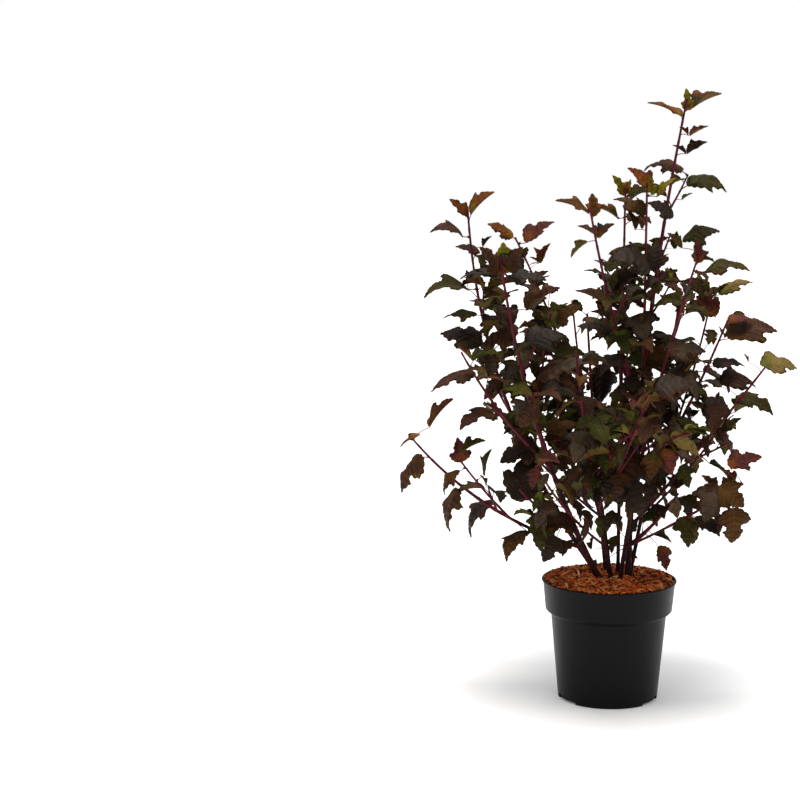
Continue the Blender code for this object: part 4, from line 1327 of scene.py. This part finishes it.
def tones_of(rng, shoot, age, height):
    """A leaf's two tones: fresh at the high tips, plum and dusky below, the dusk partly painted shade, and
    some greener ones deep down.
    """
    fresh = rng.random() < FRESHNESS.get(shoot, 0.08)
    if age < TIP_AGE and height > TIP_HEIGHT:
        return rng.choice(FRESH_TIPS if fresh else HIGH_TIPS)
    if age < TIP_AGE:
        return rng.choice(LOW_TIPS)
    if height < LOW_HEIGHT:
        return rng.choice(LOW_LEAVES)
    if height > TOP_HEIGHT:
        return rng.choice(TOP_LEAVES)
    return rng.choice(YOUNG_LEAVES if age < YOUNG_AGE else OLD_LEAVES)


def clear_end(path, leaves):
    """The share of a path at which it would stick out bare into the sky, or its end."""
    share, step = 1.0, 0.02
    while share > 0.5 and in_sky(path.at(share)):
        place = path.at(share)
        if any((leaf.root - place).length < step * path.length for leaf in leaves):
            break
        share -= step
    return share


def stouter(radius_at):
    """A stem's radius with its skin, a little more than its solid's."""
    return lambda share: radius_at(share) * 1.12 + 0.0002


def make_plant():
    branches = make_branches()
    masses = grow(branches)
    large = [Pattern(9, 3, lobing, width, wedge) for lobing, width, wedge in FORMS]
    small = [Pattern(6, 2, lobing, width * 0.86, wedge) for lobing, width, wedge in FORMS]
    materials = leaf_materials()
    canes, twigs = Builder(), Builder()
    for n, branch in enumerate(branches.values()):
        if not branch.shoot.bare:
            continue
        low, kind, sides, relief = 0.0, 1, 12, 0.10
        if not branch.parent:
            low, kind, sides, relief = -CANE_SINK / branch.path.length, 0, 18, 0.13
        end = branch.shoot.bare + 0.01
        canes.add(*rod(branch.path, low, end, branch.radius_at, sides, CANE_STEP, relief, n, 0.13), kind)
    leaves, group, piece_number = Builder(), [], 0
    rng = random.Random(7)
    for mass in masses:
        shoot = mass.branch.shoot
        for order, (path, start, radius_at) in enumerate(mass.axes):
            first = 0 if order else start
            end = clear_end(path, [borne.leaf for borne in mass.borne])
            shape = rod(path, first, end, stouter(radius_at), 8, TWIG_STEP, 0.06, order, 0.2)
            twigs.add(*shape, 1 if order else 0)
        for twig in mass.sprays:
            twigs.add(*rod(twig, 0, 1, lambda share: 0.001 - 0.0004 * share, 5, STALK_STEP), 1)
        for leaf, age, stem_direction, tone in mass.borne:
            bend = bend_of(rng, age, leaf.direction.z < -0.3)
            if tone:
                fold = rng.uniform(0.0, 0.3) if leaf.arch > GROWN_ARCH else max(bend.fold, 0.4)
                bend = bend._replace(fold=fold, droop=0.0, sway=0.0, twist=bend.twist / 2)
                tones = rng.choice(SIGHTED_TONES[tone])
            else:
                leaf = leaf._replace(length=leaf.length * (1 + 0.22 * max(0.0, 1 - age * 1.6)))
                tones = tones_of(rng, shoot.name, age, leaf.root.z)
            grown = leaf.length > GROWN_LENGTH
            reach = rng.uniform(0.24, 0.4) if rng.random() < (0.7 if leaf.root.z > 0.55 else 0.35) else 0.0
            add_leaf(leaves, leaf, rng.choice(large if grown else small), bend, tones, grown, reach)
            stalk = Stalk(leaf, stem_direction)
            thick = min(0.0012, 0.0004 + leaf.length * 0.011)
            twigs.add(*rod(stalk, 0, 1, lambda s: thick * (1 - 0.3 * s), 6, STALK_STEP), 2)
            if grown:
                aim = (leaf.base - leaf.root).normalized() + stem_direction
                twigs.add(*bud(leaf.root, aim, rng.uniform(0.005, 0.008)), 1)
        group.append(mass.name)
        if leaves.triangles() > LEAF_TRIANGLES or mass is masses[-1]:
            piece_number += 1
            settle(leaves.make(f"leaves_{piece_number}", materials), "foliage", *group)
            leaves, group = Builder(), []
    barks = [bark_material(name, *look) for name, look in BARKS.items()]
    limbs = [("bough_" if b.parent else "stem_") + b.shoot.name for b in branches.values() if b.shoot.bare]
    settle(canes.make("canes", barks[:2]), "stem_bark", *limbs)
    foliage = [mass.name for mass in masses]
    settle(twigs.make("twigs", barks[2:]), "stem_bark", *foliage)


# Pot, mulch and soil


def lathe(name, profile, sides, material):
    """A smooth solid of revolution whose profile starts and ends on the axis."""
    points, faces = [(0, 0, profile[0][1]), (0, 0, profile[-1][1])], []
    rows = profile[1:-1]
    for radius, height in rows:
        points += [(*on_circle(radius, k, sides), height) for k in range(sides)]
    for i in range(len(rows) - 1):
        for k in range(sides):
            a, b = 2 + i * sides + k, 2 + i * sides + (k + 1) % sides
            faces.append((a, b, b + sides, a + sides))
    last = 2 + (len(rows) - 1) * sides
    for k in range(sides):
        faces.append((0, 2 + (k + 1) % sides, 2 + k))
        faces.append((1, last + k, last + (k + 1) % sides))
    builder = Builder()
    builder.add(points, faces, 0)
    return builder.make(name, [material], smooth=False)


def rounded(profile, radius, steps=4):
    """The profile with each inner corner rounded."""
    result = [profile[0]]
    for before, corner, after in zip(profile, profile[1:], profile[2:]):
        corner, a, b = (Vector(p) for p in (corner, before, after))
        reach = min(radius, (a - corner).length * 0.45, (b - corner).length * 0.45)
        start = corner + (a - corner).normalized() * reach
        end = corner + (b - corner).normalized() * reach
        for i in range(steps + 1):
            t = i / steps
            point = start * (1 - t) ** 2 + corner * 2 * t * (1 - t) + end * t * t
            result.append(tuple(point))
    return result + [profile[-1]]


def make_pot():
    lip = POT_HEIGHT - LIP_HEIGHT
    outside = [
        (0, 0),
        (BASE_RADIUS, 0.0),
        (SHOULDER_RADIUS, SHOULDER_HEIGHT),
        (COLLAR_RADIUS, COLLAR_HEIGHT),
        (RIM_RADIUS - LIP_WIDTH, lip),
        (RIM_RADIUS, lip),
        (RIM_RADIUS, POT_HEIGHT),
    ]
    inside = [
        (RIM_RADIUS - LIP_WIDTH - WALL, POT_HEIGHT),
        (COLLAR_RADIUS - WALL, COLLAR_HEIGHT + WALL / 2),
        (SHOULDER_RADIUS - WALL, SHOULDER_HEIGHT + WALL / 2),
        (BASE_RADIUS - WALL, WALL),
        (0, WALL),
    ]
    plastic = pot_material()
    pot = lathe("nursery_pot", rounded(outside + inside, 0.0012), POT_SIDES, plastic)
    for i in range(DRAINS):
        angle = FIRST_DRAIN + i * 2 * math.pi / DRAINS
        cutter = lathe_wedge(angle)
        step = pot.modifiers.new("drain", "BOOLEAN")
        step.operation, step.solver, step.object = "DIFFERENCE", "EXACT", cutter
        graph = bpy.context.evaluated_depsgraph_get()
        graph.update()
        shape = bpy.data.meshes.new_from_object(pot.evaluated_get(graph))
        pot.modifiers.clear()
        pot.data = shape
        bpy.data.objects.remove(cutter)
    pot.data.shade_smooth()
    pot.data.set_sharp_from_angle(angle=math.radians(32))
    settle(pot, "pot_plastic", "pot")


def lathe_wedge(angle):
    """What one drain notch takes out of the pot's foot."""
    near, far = BASE_RADIUS - DRAIN_DEPTH, BASE_RADIUS + DRAIN_DEPTH
    turns = [angle + DRAIN_ARC * (i / 8 - 0.5) for i in range(9)]
    ring = [(near, a) for a in turns] + [(far, a) for a in reversed(turns)]
    count = len(ring)
    points = [(r * math.cos(a), r * math.sin(a), z) for z in (-DRAIN_HEIGHT, DRAIN_HEIGHT) for r, a in ring]
    faces = [tuple(range(count)), tuple(reversed(range(count, 2 * count)))]
    faces += [(k, k + count, (k + 1) % count + count, (k + 1) % count) for k in range(count)]
    builder = Builder()
    builder.add(points, faces, 0)
    cutter = builder.make("cutter", [])
    mesh = bmesh.new()
    mesh.from_mesh(cutter.data)
    bmesh.ops.recalc_face_normals(mesh, faces=mesh.faces)
    mesh.to_mesh(cutter.data)
    mesh.free()
    return cutter


def mulch_height(x, y):
    """The height of the bark's surface: nearly flat in the middle, and lower and lumpy at the wall."""
    radius = math.hypot(x, y)
    share = min(1.0, max(0.0, (radius - FLAT_RADIUS) / (MULCH_OUT - FLAT_RADIUS)))
    lumps = noise.noise(Vector((x * 60, y * 60, 1.0))) * MULCH_BUMP
    return GROUND - 0.0002 + 0.0004 * share + lumps


def chip(rng, x, y, z, length, width, pitch):
    """Points and faces of one torn chip: a thin uneven strip, bent a little."""
    heading = rng.uniform(0, 2 * math.pi)
    level = math.cos(pitch)
    ahead = Vector((math.cos(heading) * level, math.sin(heading) * level, math.sin(pitch)))
    side = Vector((-math.sin(heading), math.cos(heading), rng.uniform(-0.5, 0.5))).normalized()
    up = ahead.cross(side)
    thick = rng.uniform(0.0006, 0.0015)
    arch = rng.uniform(-0.1, 0.2)
    points = []
    for i in range(CHIP_RINGS):
        t = i / (CHIP_RINGS - 1)
        half = width * (0.35 + 0.65 * math.sin(math.pi * (0.15 + 0.7 * t))) * rng.uniform(0.75, 1.15) / 2
        middle = Vector((x, y, z)) + ahead * length * (t - 0.5) + up * arch * length * math.sin(math.pi * t)
        middle += side * rng.uniform(-0.12, 0.12) * width
        points += [
            middle + side * half + up * thick / 2, middle - side * half + up * thick / 2,
            middle - side * half - up * thick / 2, middle + side * half - up * thick / 2,
        ]
    return points, skin(CHIP_RINGS, 4)


def make_mulch():
    """A lumpy bed of bark with torn chips strewn over it."""
    rings, sides = 26, BED_SIDES
    builder = Builder()
    points, faces = [(0, 0, mulch_height(0, 0))], []
    for i in range(1, rings + 1):
        radius = MULCH_OUT * i / rings
        for k in range(sides):
            x, y = on_circle(radius, k, sides)
            points.append((x, y, mulch_height(x, y)))
    low = BALL_TOP + CLEARANCE
    points += [(x * 0.985, y * 0.985, low) for x, y, _ in points[-sides:]] + [(0, 0, low)]
    for k in range(sides):
        following = (k + 1) % sides
        faces.append((0, 1 + k, 1 + following))
        for i in range(rings):
            a, b = 1 + i * sides + k, 1 + i * sides + following
            faces.append((a, a + sides, b + sides, b))
        faces.append((len(points) - 1, 1 + rings * sides + following, 1 + rings * sides + k))
    builder.add(points, faces, 0)
    rng = random.Random(11)
    for _ in range(CHIPS):
        radius = (MULCH_OUT - 0.004) * math.sqrt(rng.random())
        turn = rng.uniform(0, 2 * math.pi)
        length = rng.uniform(0.006, 0.022) if rng.random() < 0.85 else rng.uniform(0.02, 0.034)
        radius = min(radius, MULCH_OUT - length * 0.42)
        x, y = radius * math.cos(turn), radius * math.sin(turn)
        z = mulch_height(x, y) + rng.uniform(-0.0002, 0.003)
        width = rng.uniform(0.0012, 0.0038)
        kind = rng.choices((1, 2, 3, 4, 5), CHIP_SHARES)[0]
        builder.add(*chip(rng, x, y, z, length, width, rng.gauss(0, 0.3)), kind)
    for _ in range(RIM_CHIPS):
        radius, turn = rng.uniform(MULCH_OUT - 0.005, RIM_RADIUS - 0.003), rng.uniform(0, 2 * math.pi)
        x, y, z = radius * math.cos(turn), radius * math.sin(turn), POT_HEIGHT + rng.uniform(0.0003, 0.0012)
        size = rng.uniform(0.004, 0.01), rng.uniform(0.001, 0.0024)
        builder.add(*chip(rng, x, y, z, *size, rng.gauss(0, 0.08)), rng.choice((1, 2, 4)))
    materials = [chip_material(name, linear(*colour)) for name, colour in CHIP_COLOURS.items()]
    settle(builder.make("mulch", materials, smooth=False), "bark_chips", "bark_mulch")


# Floor, light and camera

FLOOR_RADIUS, FLOOR_SIDES = 9, 64
SOFT_LIGHT = 0.355


def make_floor():
    """A pale disc, a hair's breadth below the pot, which glows a little: painted light that lightens the
    shadow on it.
    """
    builder = Builder()
    rim = [(*on_circle(FLOOR_RADIUS, k, FLOOR_SIDES), -0.0004) for k in range(FLOOR_SIDES)]
    builder.add(rim, [tuple(range(FLOOR_SIDES))], 0)
    paint = Nodes("floor_paint")
    paint.set(Base_Color=(0.9, 0.91, 0.935), Roughness=0.9, Specular_IOR_Level=0.1)
    # Painted light: a faint glow of the floor's own lightens the plant's shadow on it
    paint.set(Emission_Color=(1.0, 1.0, 1.0), Emission_Strength=0.1)
    builder.make("floor", [paint.material])


def make_sun(name, azimuth, elevation, strength, softness, colour=(1, 1, 1)):
    """A soft distant light. Azimuth 0 stands before the plant, and 90 to its right."""
    light = bpy.data.lights.new(name, "SUN")
    light.energy = strength
    light.angle = math.radians(softness)
    light.color = colour
    a, e = math.radians(azimuth), math.radians(elevation)
    towards = Vector((math.sin(a) * math.cos(e), -math.cos(a) * math.cos(e), math.sin(e)))
    linked(name, light).rotation_euler = towards.to_track_quat("Z", "Y").to_euler()


def make_light():
    """A white studio: the camera sees white all round, and the plant gets soft light from above."""
    world = bpy.data.worlds.new("studio")
    bpy.context.scene.world = world
    world.use_nodes = True
    nodes, links = world.node_tree.nodes, world.node_tree.links
    backdrop, soft = nodes["Background"], nodes.new("ShaderNodeBackground")
    for glow, strength in ((backdrop, 1.0), (soft, SOFT_LIGHT)):
        glow.inputs["Color"].default_value = (1, 1, 1, 1)
        glow.inputs["Strength"].default_value = strength
    rays, mix = nodes.new("ShaderNodeLightPath"), nodes.new("ShaderNodeMixShader")
    links.new(rays.outputs["Is Camera Ray"], mix.inputs["Fac"])
    links.new(soft.outputs[0], mix.inputs[1])
    links.new(backdrop.outputs[0], mix.inputs[2])
    links.new(mix.outputs[0], nodes["World Output"].inputs["Surface"])
    make_sun("key", -25, 80, 2.1, 28, (1.0, 0.965, 0.9))
    make_sun("fill", 20, 72, 0.65, 45, (1.0, 0.98, 0.95))
    make_sun("top", 180, 70, 1.3, 50, (1.0, 0.98, 0.95))


def make_camera():
    lens = bpy.data.cameras.new("camera")
    lens.sensor_width = SENSOR
    lens.lens = CAMERA_LENS
    camera = linked("camera", lens)
    camera.location = CAMERA_PLACE
    camera.rotation_euler = AHEAD.to_track_quat("-Z", "Y").to_euler()
    bpy.context.scene.camera = camera


def main():
    make_camera()
    make_light()
    make_floor()
    make_pot()
    make_mulch()
    soil = frame["nodes"]["root_ball"]
    soil.data.materials.clear()
    soil.data.materials.append(soil_material())
    make_plant()
    bpy.context.scene.view_settings.view_transform = "Standard"


main()
bpy.context.view_layer.update()
